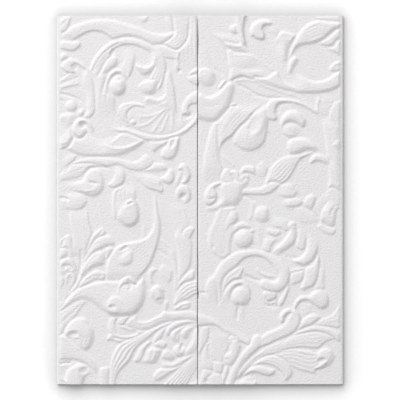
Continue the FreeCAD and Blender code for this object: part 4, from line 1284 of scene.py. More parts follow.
def hook_and_crescents(field):
    """The hooked curl under the stem and the crescents that hang below it."""
    field.lobe(
        ((36, 43.8), (35.1, 46.5), (35.4, 50.5), (37, 53.2), (40, 55), (44, 55.2), (50, 54.8),
         (56, 53.5), (62, 49.8), (66, 46)),
        ((36.6, 44), (39, 43.1), (41, 43.3), (42, 44.7), (41.1, 47.3), (41.4, 50.2), (42.8, 52.2),
         (45, 52.8), (49, 52.8), (53, 51.8), (58, 49.6), (62, 47.2), (66, 45)),
        rise=1.15, steep=(1.5, 1.2), fade=(0, 5), roundness=0.3, cut=False)
    field.vein(((42.5, 46), (42.3, 49), (43.3, 51.3), (46, 52.4), (50, 52)), rise=-0.3, width=1.2)
    field.lobe(
        ((44.5, 36.5), (43.3, 40), (43.5, 43.5), (45.3, 46.7), (48.5, 48.8), (51.5, 48.9), (54.5, 47.6),
         (56.7, 45.2)),
        ((45.3, 35.8), (45.3, 39), (46.6, 41.3), (49, 42.3), (52, 41.6), (54, 40.2), (55.7, 39.3),
         (57.2, 40.4), (57.7, 43)),
        rise=1.5, steep=(2.2, 2.2), roundness=0.5, wide=4.5, cut=False)
    field.lobe(
        ((44.3, 37.5), (44.6, 40), (46.5, 41.5), (50, 41.8), (56, 40)),
        ((45, 36.2), (46.5, 34.6), (48.8, 33.6), (51.5, 34.1), (55, 35)),
        rise=0.9, steep=(2.5, 1), fade=(0, 6), cut=False)
    field.vein(((45.6, 36.6), (47, 34.9), (49, 34.1), (52, 34.4)), rise=-0.35, width=0.9)
    field.lobe(
        ((48, 25.5), (47.2, 28.5), (47.7, 31.5), (49.8, 33.3), (53, 34), (56.5, 33.9), (60, 32.5),
         (63.5, 29.5), (66, 26.5)),
        ((49.5, 24.3), (52, 23.5), (54, 24.5), (56, 26), (58.5, 26.8), (61.5, 26.3), (64, 25.3)),
        rise=1.5, steep=(2, 3), fade=(0, 5), roundness=0.4)
    field.lobe(
        ((59.2, 20.5), (60.2, 23), (62, 24.8), (65, 25.2), (68, 24.2), (70.3, 21.5), (71.5, 17)),
        ((60.6, 19.8), (63, 21), (65, 20.9), (66.8, 20), (68.3, 18)),
        rise=1.1, steep=(1.4, 1), fade=(0, 4))


def right_edge_stems(field):
    """The upright stems along the right edge, the three small leaves above and the bud between them."""
    field.lobe(
        ((63.4, 56), (64.5, 57.1), (66.5, 57.4), (70, 56.3), (74, 56)),
        ((66, 46), (70, 46), (73, 50), (76, 54)),
        rise=0.3, steep=(1, 0.9), fade=(0, 3))
    field.vein(((64.6, 56.4), (64.3, 54), (63.8, 51.5), (64.2, 49), (65.2, 46)), rise=0.5, width=1.2)
    field.vein(((65, 55.9), (66, 55.5)), rise=-0.5, width=1.3, taper=0.6)
    field.lobe(
        ((70, 40), (69.8, 45), (70.4, 48.5), (71.6, 51), (73, 53.2), (76, 53.8), (80, 53.7)),
        ((80, 40), (80, 45), (80, 50)),
        rise=0.8, steep=(1, 0.9), fade=(5, 0))
    field.lobe(
        ((75.2, 55.7), (75.4, 59), (76.2, 61.5), (80, 62.5)), ((77.5, 55.3), (80, 56), (80, 60)),
        rise=0.8, steep=(0.9, 0.9))
    field.lobe(
        ((66.5, 46), (67, 40), (68, 34), (68.5, 28), (69.2, 22), (69.8, 16), (70.2, 11.5), (69.5, 7.5),
         (68, 4), (65.8, 1.3), (63.5, -1.3), (62.3, -4)),
        ((78, 46), (78, 40), (78, 34), (78, 28), (78, 22), (78, 16), (78, 11), (78, 5), (76, -3),
         (72, -9)),
        rise=0.9, steep=(0.9, 1), fade=(7, 4))
    field.vein(((75.3, 40), (75, 32), (75.2, 24), (74.9, 16), (75, 8)), rise=-0.2, width=1.1)
    field.lobe(
        ((80, 33.5), (77, 33), (75, 32.6), (73.2, 31.5), (71.4, 29.7)),
        ((80, 28), (77, 27), (74.6, 28), (72.8, 29), (71.6, 29.4)),
        rise=0.6, steep=(1, 0.9), upon=True)
    field.lobe(
        ((67, -4), (67.5, 2), (69, 5.5), (71, 7), (73, 6.6), (75.3, 4.7), (77.3, 2)),
        ((72, -4), (75, -3), (78, -1)),
        rise=0.5, steep=(1.5, 0.9), fade=(4, 0))
    field.lobe(
        ((56.4, -3.5), (56.2, -1), (57, 1.2), (59, 2.8), (61.3, 3.2), (62.7, 2.6)),
        ((60, -6), (61.5, -4), (62.6, -1), (63, 1)),
        rise=1.1, steep=(1.6, 1.4), fade=(2, 0), roundness=0.5)
    field.lobe(
        ((60.5, -6), (63, -2), (65.5, 1), (68, 3.5)), ((65, -9.5), (66, -6), (68, -2.5), (71, 1)),
        rise=0.45, steep=(1, 0.5), fade=(1, 3), flutes=3, groove=0.25)
    field.lobe(
        ((65.5, -13), (65, -9.5), (65.6, -6.5), (67.3, -4), (69.7, -2.4), (71.7, -2), (73.5, -3.6)),
        ((67.3, -12.3), (69, -13.6), (71, -14.5), (73, -14), (73.7, -11.5), (74, -8), (74, -5.5)),
        rise=1.25, steep=(1.6, 2.6), roundness=0.4, cut=False)
    field.vein(((73, -4.5), (71.8, -5.4), (71.2, -7), (71, -9)), rise=-0.45, width=1.3, taper=1.2)
    field.lobe(
        ((66.5, -12.5), (68.3, -13.9), (71, -15), (74, -15.2)),
        ((63.5, -14.5), (66, -16.8), (69, -18.5), (72, -18.8), (73.6, -17.5), (74, -15.8)),
        rise=0.65, steep=(1.1, 0.7))


def striped_bud(field):
    """The bud with stripes along it."""
    field.lobe(
        ((30.3, 11), (30.3, 15), (30.8, 18.3), (32.3, 20.5), (34.7, 21)), ((34, 11), (36, 14), (37, 18)),
        rise=0.55, steep=(1.5, 0.9), fade=(5, 1))
    field.lobe(
        ((22, 7), (26, 6.5), (30, 6.6), (33.5, 7.4), (36, 9.3), (38, 10.8), (41, 11.5)),
        ((22, 2.5), (26, 3), (30, 2.8), (35, 2.9), (38.5, 3.9), (41, 5.5), (43, 8)),
        rise=0.9, steep=(1.8, 0.8), fade=(2, 0))
    field.lobe(
        ((35, 9), (36.3, 12.5), (37.5, 15.5), (40, 19.3), (43, 22), (46.5, 23.7), (50, 24.5), (54, 25),
         (58, 25.9), (61, 26)),
        ((37.8, 8.5), (41.5, 8.3), (44.5, 9), (47, 10.5), (49, 13), (51, 16.3), (53, 20), (55, 22.5),
         (58, 24), (61.2, 25.6)),
        rise=1, steep=(1.3, 0.8), flutes=5, groove=0.3, roundness=0.3)
    field.lobe(
        ((36, 8.7), (38.5, 9.8), (41.5, 9.6), (44, 8.5)), ((38, 5), (40.5, 5.6), (42.5, 7.3)),
        rise=1, steep=(1.4, 0.5), fade=(2, 0))
    field.lobe(
        ((40.5, 6), (43.5, 8.3), (47, 9.6), (50.3, 8.8), (52, 6)),
        ((40, 3), (46, 1.5), (49.5, 1), (51.5, 1.8), (52.5, 3.5)),
        rise=0.95, steep=(2.2, 1.4), fade=(8, 0))
    field.lobe(
        ((44, 0), (48, 0.6), (51.5, 1.3), (54.5, 0.7), (55.8, -0.5)),
        ((44, -3.5), (48, -3.8), (51.5, -3.8), (53.5, -3.4), (55.3, -2)),
        rise=0.9, steep=(1.4, 1.2), fade=(5, 0))
    field.lobe(
        ((50, -4.2), (54, -4), (58, -5), (61, -6.8), (64, -9)),
        ((52, -12), (58, -13), (62, -12.5), (65, -12)),
        rise=0.35, steep=(1.3, 2), fade=(4, 2))


def flower(field):
    """The curled flower at the middle of the right leaf."""
    field.lobe(
        ((21.7, 14), (22, 16.5), (23.5, 18.3), (26, 18.9), (29, 18.6), (31, 17.5)),
        ((22.7, 13.8), (24.3, 15), (26.5, 14.9), (29, 14), (31, 12)),
        rise=0.9, steep=(1.6, 0.9), fade=(0, 2))
    field.lobe(
        ((22.2, 12.3), (22.7, 14), (24.3, 14.3), (26.5, 13.8)), ((23, 11.8), (24.8, 11.8), (26.4, 12)),
        rise=0.8, steep=(0.8, 0.4))
    field.lobe(
        ((16, 11), (15.8, 14), (17, 16), (19, 16.3), (21, 15.2), (22, 13)), ((20, 8), (23, 9), (24, 11)),
        rise=1.15, steep=(1.4, 0.9), fade=(3, 0))
    field.lobe(
        ((13, 8), (11.3, 11), (11.3, 14), (13, 16.4), (15.3, 17), (16.3, 15.8)),
        ((19, 6), (18.5, 11), (17, 14)),
        rise=1.15, steep=(1.3, 0.9), fade=(3, 0))
    field.lobe(
        ((3.5, -3.5), (7.5, -2.4), (10.5, 0), (10.5, 4), (10, 8), (13, 10.5), (18, 11.5), (22, 11),
         (26.3, 13.5)),
        ((4.5, -6.1), (8, -6), (12, -4.8), (16, -3.4), (19, -3.3), (21.3, -1.5), (23, 1.2), (23.7, 3.8),
         (24.5, 6.3), (26, 8.5), (26.8, 11)),
        rise=1.45, steep=(3, 4.2), roundness=0.3, wide=7, cut=False)
    field.lobe(
        ((11.5, 10.3), (8.5, 9.8), (5.5, 8.2), (3.4, 5.8), (2.2, 3), (2, 0), (2.8, -2.3)),
        ((11, 8), (9.2, 7.5), (8, 5.8), (8.5, 4.6), (9.4, 2.5), (8.8, 0), (7, -2.1), (5, -3), (3.2, -2.6)),
        rise=1.25, steep=(1.6, 0.9), roundness=0.35)
    field.vein(((8.4, 7.8), (7.2, 6.7), (6.4, 5.3)), rise=-0.4, width=1.1, taper=1)
    field.vein(((4.6, 0.9), (6.5, 0.6), (8.6, 1.3)), rise=-0.5, width=1.2, taper=1)
    field.knob((7.6, 3.6), 1.6, rise=1, squash=0.8, cut=False)
    field.vein(((22.5, 2.8), (25.5, 2), (28, 0.6), (30.5, -1.5)), rise=-0.35, width=1.3)
    field.vein(((28.4, 0), (28.6, -4), (27.9, -8), (26, -11.5)), rise=0.3, width=1.6)


def hanging_leaf(field):
    """The long hanging leaf, its rolled side lobe and the berry under its curl."""
    field.lobe(
        ((9.8, -4.5), (8.2, -8), (6.8, -12), (5, -15.5), (3.9, -19), (4, -22.5), (5, -26), (7, -29)),
        ((19.5, -4), (19, -10), (19, -16), (17.5, -21), (16.9, -25), (16.9, -28.5), (15.8, -30.6),
         (13, -32.2), (10.5, -31.4), (8.3, -29.6)),
        rise=0.7, steep=(1.8, 1.6), flutes=2, groove=0.12, roundness=0.2)
    field.lobe(
        ((12.7, -17), (13, -12.5), (14.5, -9), (16.5, -6.3), (18.7, -5.3), (20, -6)),
        ((15, -17.5), (17, -14.5), (19.3, -12.5), (20.9, -10), (20.8, -7.5)),
        rise=1.4, steep=(1.4, 2), roundness=0.5, cut=False)
    field.hollow((7, -25.5), 1.3, 0.3)
    field.lobe(
        ((14.5, -22), (15.3, -18.5), (17, -15.3), (19.5, -13), (22.5, -11.8), (25.5, -12.4),
         (28, -14.5), (29.5, -17.5)),
        ((16.6, -23), (18, -19), (20, -16.9), (22.5, -15.5), (24.8, -15.2), (27, -16.2)),
        rise=0.9, steep=(1.4, 1.3), fade=(7, 2), cut=False)
    field.knob((23.7, -21), 5.1, rise=1.7)
    field.lobe(
        ((27, -17), (27.3, -15.5), (29, -15.3), (29.8, -16.5)), ((27.5, -17.8), (29.5, -17.6)),
        rise=0.7, steep=(0.9, 0.5))
    field.vein(((28.5, -23.5), (30, -24.6), (31, -25.2)), rise=-0.35, width=1.1, taper=1)


def right_spray(field):
    """The ball, the small lobes and the five hanging fingers at the right."""
    field.lobe(
        ((30, -12), (30, -18), (31, -24)), ((34, -12), (33.5, -18), (35, -27)),
        rise=0.25, fade=(4, 4))
    field.lobe(
        ((38, -11), (42, -9), (47, -9.5), (50, -12)),
        ((38, -14), (41, -14.9), (44, -15.5), (46.7, -17), (48.2, -16), (49.7, -15.2)),
        rise=0.6, steep=(5, 0.8), fade=(4, 0), cut=False)
    field.lobe(
        ((38.5, -6), (36.8, -3.9), (34, -3.1), (31.2, -4), (29.6, -6.4), (29.4, -9)),
        ((38.6, -8.5), (37.6, -10.8), (35.5, -12.2), (33, -12.2), (30.8, -11.2)),
        rise=1.3, steep=(1.8, 3), fade=(3, 0), roundness=0.6)
    field.lobe(
        ((34.5, -15.5), (37, -15.3), (40, -15.8), (43.3, -16.4)),
        ((35.8, -17), (38.2, -18.9), (41, -19.7), (43.3, -18.6)),
        rise=0.9, steep=(1.3, 0.9), fade=(2, 0), cut=False)
    field.lobe(
        ((34, -20.5), (38, -20), (44.4, -20.2)),
        ((33, -27), (38, -28.4), (38.7, -25.8), (40.3, -23), (44.2, -20.7)),
        rise=0.75, steep=(3, 1.2), fade=(3, 0), cut=False)
    field.lobe(
        ((53, -12), (53, -16), (52.6, -20), (52, -24)),
        ((57.8, -18), (57.6, -22), (57.2, -25), (56.4, -26.9), (55, -27.3), (53, -26.2)),
        rise=0.85, steep=(1.2, 0.9), fade=(4, 0))
    field.lobe(
        ((50.8, -11.5), (49, -11.5), (47.7, -12.6), (47.4, -14.3), (48.5, -16.5), (47, -19.5),
         (44, -23), (41, -25.7), (38, -28.4)),
        ((52.5, -14), (53, -18), (52.3, -22), (51, -24.2), (48.3, -26.3), (45.5, -28), (43, -29.8),
         (41, -31.5)),
        rise=1.25, steep=(1.3, 2.6), fade=(0, 6), roundness=0.4)
    field.lobe(
        ((59, -16), (58.3, -20), (58.1, -24), (57.6, -27), (56, -29.5), (54, -31.3), (51.5, -32.2),
         (49.5, -32.5)),
        ((64.5, -20), (64.3, -26), (63.2, -30.3), (61.4, -33), (59, -34.8), (57, -35.8), (54.2, -35.4),
         (51.5, -34.3), (49.8, -33)),
        rise=1.35, steep=(1.4, 2), fade=(9, 0), roundness=0.4)
    field.vein(((46, -30.2), (50, -31.2), (54, -30.9)), rise=-0.3, width=1.1)
    field.lobe(
        ((63.8, -29.5), (62, -33.5), (60, -35.6), (57.8, -36.5), (56.7, -38.8), (56.3, -42),
         (55.6, -45), (54.6, -47.3)),
        ((65, -34), (64.8, -38), (64.3, -41.5), (63, -45), (60.8, -47.2), (58.6, -48), (56.5, -48.9),
         (55, -48.6)),
        rise=1.2, steep=(1.3, 1.3), roundness=0.45)
    field.lobe(
        ((64.9, -34), (64.8, -39), (64, -43), (62.6, -46.5), (61.3, -50)),
        ((67.4, -28), (67.7, -36), (67.5, -41), (67.4, -45), (67.8, -47.3), (66, -48.8), (63, -49.5)),
        rise=0.55, steep=(1, 0.7), fade=(6, 0))
    field.lobe(
        ((44, -37.8), (50, -37.2), (54, -36.6), (57, -36.5)),
        ((46, -40), (50, -39.5), (53.5, -38.8), (57, -37.9)),
        rise=0.5, steep=(1.5, 0.6), fade=(3, 0), cut=False)
    field.lobe(
        ((49.6, -40), (49, -43), (49.7, -45.6)),
        ((56.6, -38.6), (56.2, -42), (54.8, -44), (52.5, -45.1), (50.5, -45.8)),
        rise=0.8, steep=(0.9, 0.8))


def big_arch(field):
    """The great arch, the tongue and the knobbed curls under it."""
    field.lobe(
        ((2.6, -49), (2.8, -45.5), (3.8, -42.5), (5.5, -40.6), (8, -40.3)),
        ((9.3, -58), (9.6, -52), (9.2, -47), (8.2, -43.5)),
        rise=0.5, steep=(1.8, 0.6), fade=(10, 1))
    field.lobe(
        ((2.5, -58), (2.6, -50), (3, -46), (4.5, -42.5), (7.3, -40.5), (8.5, -38), (10, -35.6),
         (12, -32.9), (15, -30.5), (18.5, -28.6), (22, -27.4), (26, -26.8), (30, -26.8), (34, -27.5),
         (38, -29), (42, -31), (46, -34), (48.5, -38), (49.2, -44)),
        ((11, -58), (12, -52), (13.3, -47.5), (14, -43), (15.3, -40), (18, -37.5), (20.3, -35.8),
         (22, -33.6), (24.5, -31.6), (28, -30.6), (32, -30.7), (35, -31.9), (37.5, -33.7), (39.5, -36),
         (41, -39), (42, -44)),
        rise=0.95, steep=(1.8, 1), fade=(15, 7), roundness=0.3, wide=5)
    field.vein(((8, -44), (9.3, -48.5), (9.6, -53), (9.9, -58)), rise=-0.3, width=1.3)
    field.lobe(
        ((11.8, -58), (12, -50), (12.3, -45), (13.8, -41.5), (16, -39.2), (18.5, -37.5), (21, -36),
         (23.5, -36.4)),
        ((12.6, -58), (13, -50), (14, -47), (16, -45), (18.5, -43.3), (21, -43), (22.3, -42),
         (22.8, -40), (23.6, -38)),
        rise=0.95, steep=(1.2, 0.9), flutes=1, groove=0.2)
    field.vein(((-1, -50.8), (1.5, -50.3), (4, -50.9)), rise=-0.4, width=1.3, taper=1)
    field.vein(((24, -40.5), (27, -42), (30, -43.2), (33, -44.3)), rise=-0.6, width=1.2)
    field.vein(((30, -37), (32.5, -39.3), (35.5, -40.7), (41, -41.7)), rise=0.4, width=1.1)
    field.vein(((35, -42.5), (37.5, -43.1), (40, -43)), rise=-0.3, width=0.9, taper=1)
    field.lobe(
        ((42.3, -34), (42.2, -39), (42.2, -41.8), (41.5, -43.5), (39.5, -44.1), (36.5, -43.2),
         (34.2, -43.1), (32.6, -44.8), (32.4, -46.5)),
        ((48.4, -34), (49, -41), (48, -45.3), (46, -48), (43.5, -49.6), (40.5, -50.2), (37, -49.7),
         (34.5, -48.6), (33, -47.4)),
        rise=1.35, steep=(1.3, 1.3), fade=(7, 0), roundness=0.5, wide=4.5, cut=False)
    field.lobe(
        ((46.5, -44), (45.8, -48), (44.5, -51.5), (42.8, -54), (41.9, -57)),
        ((49.1, -42), (48.9, -46), (47.8, -50.5), (46.5, -53.8), (45, -56.6), (43, -57.8)),
        rise=0.95, steep=(1.2, 1), fade=(6, 0), cut=False)
    field.lobe(
        ((34.5, -49.5), (33.8, -51), (34.4, -52.8), (35.5, -53.6)),
        ((41.5, -50.5), (41.6, -52.6), (39.5, -54.2), (37, -54.8), (35.7, -54.4)),
        rise=1.1, steep=(1.5, 0.9), cut=False)
    field.lobe(
        ((35.8, -54.8), (38, -55.6), (41, -54.6)),
        ((36, -56.3), (38.3, -57.8), (40.5, -58.2), (42, -57.5), (42, -55)),
        rise=0.9, steep=(0.8, 1.1))
    field.vein(((36.9, -56.4), (39.2, -57.2), (41.6, -56.4)), rise=-0.9, width=1.7, taper=1)


def arch_knob(field):
    """The curl inside the arch and the ball it holds."""
    field.lobe(
        ((12.5, -56), (12.8, -51), (14.3, -47.6), (16.8, -45), (19.5, -43.6), (22.5, -43.3),
         (25, -44.5), (26.8, -47)),
        ((17, -56), (16.6, -52.5), (17.2, -49.6), (18.7, -47.6), (20.8, -46.3), (23.2, -46.2),
         (24.8, -48)),
        rise=1.1, steep=(1.4, 1), fade=(7, 0), cut=False)
    field.vein(((18.6, -47.6), (20.5, -46.4), (23, -46.3)), rise=-0.5, width=1.2, taper=1)
    field.lobe(
        ((24, -44), (26.3, -45.8), (27.4, -49), (27.4, -52)),
        ((23, -47), (24.5, -52), (24, -57.8), (25.8, -56.3), (27, -54)),
        rise=1, steep=(1, 0.8), cut=False)
    field.knob((21.9, -52.3), 5.4, rise=1.7, squash=0.93, turn=70, cut=False)
    field.vein(((20.6, -48.6), (22, -49.4), (23, -51)), rise=0.3, width=1.2, taper=1)
    field.lobe(
        ((20.9, -57), (20.8, -61), (21.3, -66.5)), ((24.5, -57), (24.5, -61), (24.5, -66)),
        rise=0.3, steep=(1, 1.5), fade=(0, 5))
    field.vein(((21, -57.6), (20.2, -61), (20.4, -66)), rise=-0.6, width=1.1)


def bird_head(field):
    """The double curl under the fingers."""
    field.lobe(
        ((50, -59.5), (50.6, -57), (52, -54.3), (54, -52.4), (56.5, -51.6), (59, -51.9), (60.8, -50.2),
         (63, -48.6), (66, -48.6), (68.3, -50)),
        ((52.2, -59), (53.5, -56.6), (55.5, -55), (58, -54.6), (60.5, -55.9), (62.8, -57.7),
         (65.2, -59.2), (68, -58.8), (69.6, -57), (70, -54), (69.4, -51.5)),
        rise=1.5, steep=(1.4, 1.3), roundness=0.6, wide=4.5)
    field.vein(((61.5, -52.5), (62.5, -51.2), (64, -50.7)), rise=0.25, width=1.3, taper=1)
    field.lobe(
        ((54.5, -56), (54.8, -60), (55, -64)), ((60.5, -57.5), (60.3, -60), (60.5, -62)),
        rise=0.35, fade=(0, 2), flutes=2)


def diagonal_stem(field):
    """The stem that climbs from the bottom of the right leaf, and the fan leaf that opens from it."""
    field.lobe(
        ((55, -65.5), (57, -63.8), (59.3, -62.2), (61.8, -61.5), (64, -62.2), (66, -63.5)),
        ((51, -72), (54, -70.5), (57, -69.3), (60, -68.3), (62.5, -67), (65.8, -63.9)),
        rise=0.95, steep=(1.5, 2), roundness=0.2)
    field.lobe(
        ((59, -69.5), (62, -67.4), (64, -65.7), (66.5, -64.4), (69.5, -63.3), (72, -61.7), (74, -59.3),
         (75.8, -56.4)),
        ((62, -69), (66, -68.5), (70, -68.5), (75, -69.5), (79, -67), (79, -58)),
        rise=0.7, steep=(1.3, 0.8), flutes=2, groove=0.12)
    field.lobe(
        ((38, -84), (44, -82), (50, -80.5), (58, -82), (62, -82.7), (66, -82)),
        ((38, -88.5), (43, -89), (48, -90), (51, -91), (55, -92.6), (59, -93.5), (62, -94.2),
         (63, -92.5), (66, -91)),
        rise=0.7, steep=(1.4, 0.6), fade=(4, 2), flutes=4, groove=0.2)
    field.lobe(
        ((36, -79), (42, -76.4), (48, -74.2), (54, -72.6), (60, -71.5), (66, -71.8), (71, -73.5),
         (75, -76.5)),
        ((36, -82), (42, -82), (50, -80.5), (56, -80), (61, -80.5), (64.5, -80.2), (67, -78),
         (70, -76.2), (74, -75.4)),
        rise=0.85, steep=(1.2, 0.8), fade=(4, 0), flutes=3, groove=0.14)
    field.lobe(
        ((44, -76.5), (50, -73.2), (54, -70.8), (58, -69.1), (61.5, -68.2), (65.5, -68.4), (70, -69.2),
         (74, -70.8), (79, -73.5)),
        ((44, -77), (50, -74), (54, -72.7), (59, -71.7), (63, -71.4), (67, -72), (70.5, -73.4),
         (74, -76), (79, -80)),
        rise=0.95, steep=(1.2, 0.8))
    field.lobe(
        ((63.8, -88), (63.3, -85.5), (64, -82.5), (66, -80.8), (68.8, -80.3), (71.3, -81.3), (73, -83.8)),
        ((63.6, -88.6), (61, -91.8), (62.3, -92.5), (66, -92), (70, -90.3), (72.6, -87.5), (73.8, -85)),
        rise=1.3, steep=(1.3, 3.5), roundness=0.4, wide=5, cut=False)
    field.vein(((61.5, -92.3), (64.5, -92), (67.5, -91.2), (70, -89.6)), rise=-0.25, width=1, taper=1.5)
    field.hollow((66.2, -86.8), 2.7, 1.4, squash=0.5, turn=10)
    field.vein(((61.8, -91.4), (65, -90.4), (67.6, -88.8), (68.6, -87)), rise=0.35, width=1.1, taper=1)
    field.lobe(
        ((26, -90), (31, -86.5), (36, -84.5), (41, -84.5), (45.5, -86.7), (48.5, -89.5), (50.2, -92.3),
         (49.9, -95), (48, -97.4), (46.2, -98.1)),
        ((28, -91), (33, -89), (38, -89.6), (41.5, -91.3), (43.9, -93.3), (45, -95.5), (45.6, -97.8)),
        rise=1.1, steep=(1.3, 1.1), fade=(3, 0), flutes=2, groove=0.22)
    field.lobe(
        ((21, -98), (25, -93), (29, -90.2), (33, -89.7), (37, -91), (41, -92), (40.8, -93.3)),
        ((20.5, -98.7), (22.5, -96.3), (26, -94.4), (30, -93.9), (34, -95), (38, -95.6), (40.2, -94.6)),
        rise=1.25, steep=(1.6, 1.6))
    field.lobe(
        ((20, -94), (26, -87.5), (32, -82.5), (37, -79.2), (42, -77), (47, -75)),
        ((20, -98), (25, -92.5), (30, -88), (36, -84.5), (42, -83), (48, -82)),
        rise=0.8, steep=(1, 0.5), fade=(2, 6), flutes=4, groove=0.18)
    field.lobe(
        ((17, -101.5), (20, -98.6), (24, -98.2), (28, -98.6), (30.2, -98)),
        ((18, -102), (24, -102), (29, -101.5), (31, -99.5)),
        rise=0.7, steep=(1, 0.9))
    field.lobe(
        ((28, -79), (31, -75.5), (34, -73.2), (37, -71.3), (40.5, -69.9), (43.5, -68.4), (46, -66.3),
         (47, -64.3), (48.5, -62), (50, -60)),
        ((28, -82), (33, -80), (38, -78.2), (42, -76.2), (46, -74.6), (50, -72.6), (53, -69.7),
         (54.6, -66.5), (54.8, -63), (53, -60)),
        rise=1, steep=(1.6, 1), flutes=1, groove=0.1)
    field.lobe(
        ((43.5, -66.5), (42.9, -64.3), (43.6, -61.7), (45.5, -59.6), (48.5, -58.6), (51.7, -59),
         (54, -61)),
        ((44.6, -67), (45.8, -65.7), (46.3, -63.6), (48, -61.6), (50, -61.6), (52, -63.5), (54.6, -64)),
        rise=1.3, steep=(1.3, 1.1), roundness=0.4, cut=False)
    field.hollow((46.8, -63.2), 2.6, 0.35, squash=0.35, turn=60)
    field.lobe(
        ((13, -103), (15, -97), (16.5, -92.3), (19, -88), (22, -83.6), (25, -80.2), (27.3, -77.8)),
        ((18, -103), (19.5, -98), (21.5, -93.5), (24.3, -88.8), (27.3, -85), (30.5, -82)),
        rise=1.1, steep=(1.6, 3), roundness=0.6, cut=False)
    field.lobe(
        ((21, -85), (25, -80.2), (27.3, -77.8), (28.3, -75), (29.8, -73.2), (31.8, -72.8), (33.7, -74)),
        ((24.3, -88.8), (27.3, -85), (30.5, -82), (33, -79.8), (34.4, -77.3), (34.2, -75.2)),
        rise=1.2, steep=(1.5, 1.6), fade=(7, 0), roundness=0.4, cut=False)
    for step in range(3):
        field.vein(
            ((19.5 + step, -98.5 + 0.6 * step), (23.5 + 1.2 * step, -92.5 + 0.4 * step),
             (28 + 1.6 * step, -87.4 + 0.3 * step), (34 + 2 * step, -83.5)),
            rise=-0.25, width=0.9)
    field.vein(((53, -81.6), (58, -82.4), (62.5, -82.8)), rise=0.35, width=1.3)
    field.vein(((20, -98.7), (22.5, -96.9), (25, -95.5), (28, -94.7)), rise=-0.6, width=1.8)


def seam_band(field):
    """The band that leaves the seam low down, and the blocks and leaves under it."""
    field.lobe(
        ((-2, -61.3), (1, -61.8), (4, -62.6), (7, -63.9), (10, -65.9), (13, -68.6), (16.5, -71.8),
         (19, -74.5)),
        ((-2, -68.5), (2, -68.1), (5, -67.7), (8, -68), (10.5, -69.2), (13.5, -71.6), (16, -73.8),
         (18, -75.3)),
        rise=0.95, steep=(2.4, 0.9), fade=(0, 4), wide=6)
    field.lobe(
        ((14, -67), (18, -69.5), (23, -72), (28, -74.5)),
        ((13.5, -70.3), (16, -73), (19, -75.6), (22.3, -77.4), (26.2, -79.2)),
        rise=0.75, steep=(6, 0.9), fade=(3, 0), cut=False)
    field.vein(((14.3, -70.7), (17, -73.4), (20, -75.8), (23, -77.6), (26.3, -79.2)), rise=-0.5, width=1)
    field.lobe(
        ((0, -92), (0.8, -86), (2, -80), (4.6, -76), (5, -70)), ((10.5, -88.6), (8.5, -87.5), (5.5, -86)),
        rise=0.1)
    field.lobe(
        ((5, -71), (5, -78), (4.8, -84), (6, -86)),
        ((15, -72), (16, -78), (14, -83), (12.5, -87), (11, -88.8), (8.5, -87.3)),
        rise=0.4, steep=(1.4, 0.8), fade=(3, 0))
    field.lobe(
        ((0.8, -69), (-0.2, -72), (-1, -77), (-1.6, -83)),
        ((4.9, -69), (4.8, -73), (3.6, -77), (1.5, -80.5), (-0.5, -84)),
        rise=0.7, steep=(1.8, 0.8))
    field.lobe(
        ((2.3, -79), (1.2, -84), (0.8, -89), (1.8, -91.3)),
        ((4.4, -77), (4.4, -82), (5, -86), (7, -88), (6.9, -92), (4.5, -91.8)),
        rise=0.55, steep=(1.4, 0.6))
    field.lobe(
        ((7.3, -87.8), (7.3, -91), (8, -93.5)), ((12.8, -88.6), (12.6, -91), (11.7, -93.8), (10, -94.5)),
        rise=0.75, steep=(1, 0.6))
    field.lobe(
        ((15.3, -77), (16, -74.6), (17.7, -73.6), (19.5, -74.3)), ((16.5, -78), (18, -77), (19.5, -76)),
        rise=0.6, steep=(0.9, 0.5))
    field.lobe(
        ((13, -88), (12.6, -85.3), (14, -83.2), (16, -82.3), (16.4, -79.5), (17, -76.7), (18.7, -75.2),
         (20.6, -75.6), (21.6, -77.3)),
        ((14.2, -89.5), (16.8, -90), (18.5, -88.7), (20.3, -86), (21.4, -83.5), (22, -80.5)),
        rise=1.1, steep=(1.4, 2), roundness=0.5, cut=False)
    field.vein(((13.4, -86), (14.3, -86.4), (15.2, -87.2)), rise=-0.45, width=1.1, taper=0.8)
    field.lobe(
        ((-1.5, -101), (0, -97), (1.3, -93.3), (2.6, -91.8), (5, -92.3), (6.7, -93.8)),
        ((3, -101.5), (4.5, -98), (6.5, -95)),
        rise=0.65, steep=(1.2, 0.9))
    field.lobe(
        ((2.8, -98.3), (4.3, -96.2), (6.2, -94.5), (8.5, -93.7), (11, -94.3), (12.5, -96)),
        ((3.2, -99), (6, -101.5), (12, -101.5), (13.5, -99)),
        rise=0.65, steep=(1.4, 0.9))
    field.vein(((2.7, -98.2), (3.8, -98.4), (5, -98.2)), rise=-0.5, width=1.1, taper=0.8)
    field.lobe(
        ((12, -96.5), (12.6, -93), (13.8, -90.5), (15, -90), (15.5, -91.3)),
        ((13.5, -98), (14.5, -95.5), (15.5, -93)),
        rise=0.75, steep=(1, 0.5))


LEFT_LEAF = (
    edge_curls, twin_stems, top_left_stem, great_ring, seam_leaves, fan_leaf, seam_volute, seam_hook,
    left_curls, left_lobes, middle_leaves, hooked_stem, long_band, berry, edge_lobes, acanthus, paisley,
    palmette, bowl_stem, fan_spray, shell_hook, seam_fingers)

RIGHT_LEAF = (
    top_right_leaves, right_edge_stems, right_teardrop, hook_and_crescents, top_right_stem, striped_bud,
    hanging_leaf, flower, right_spray, big_arch, arch_knob, seam_band, diagonal_stem, bird_head)


# ---- The sheet -----------------------------------------------------------------------------------

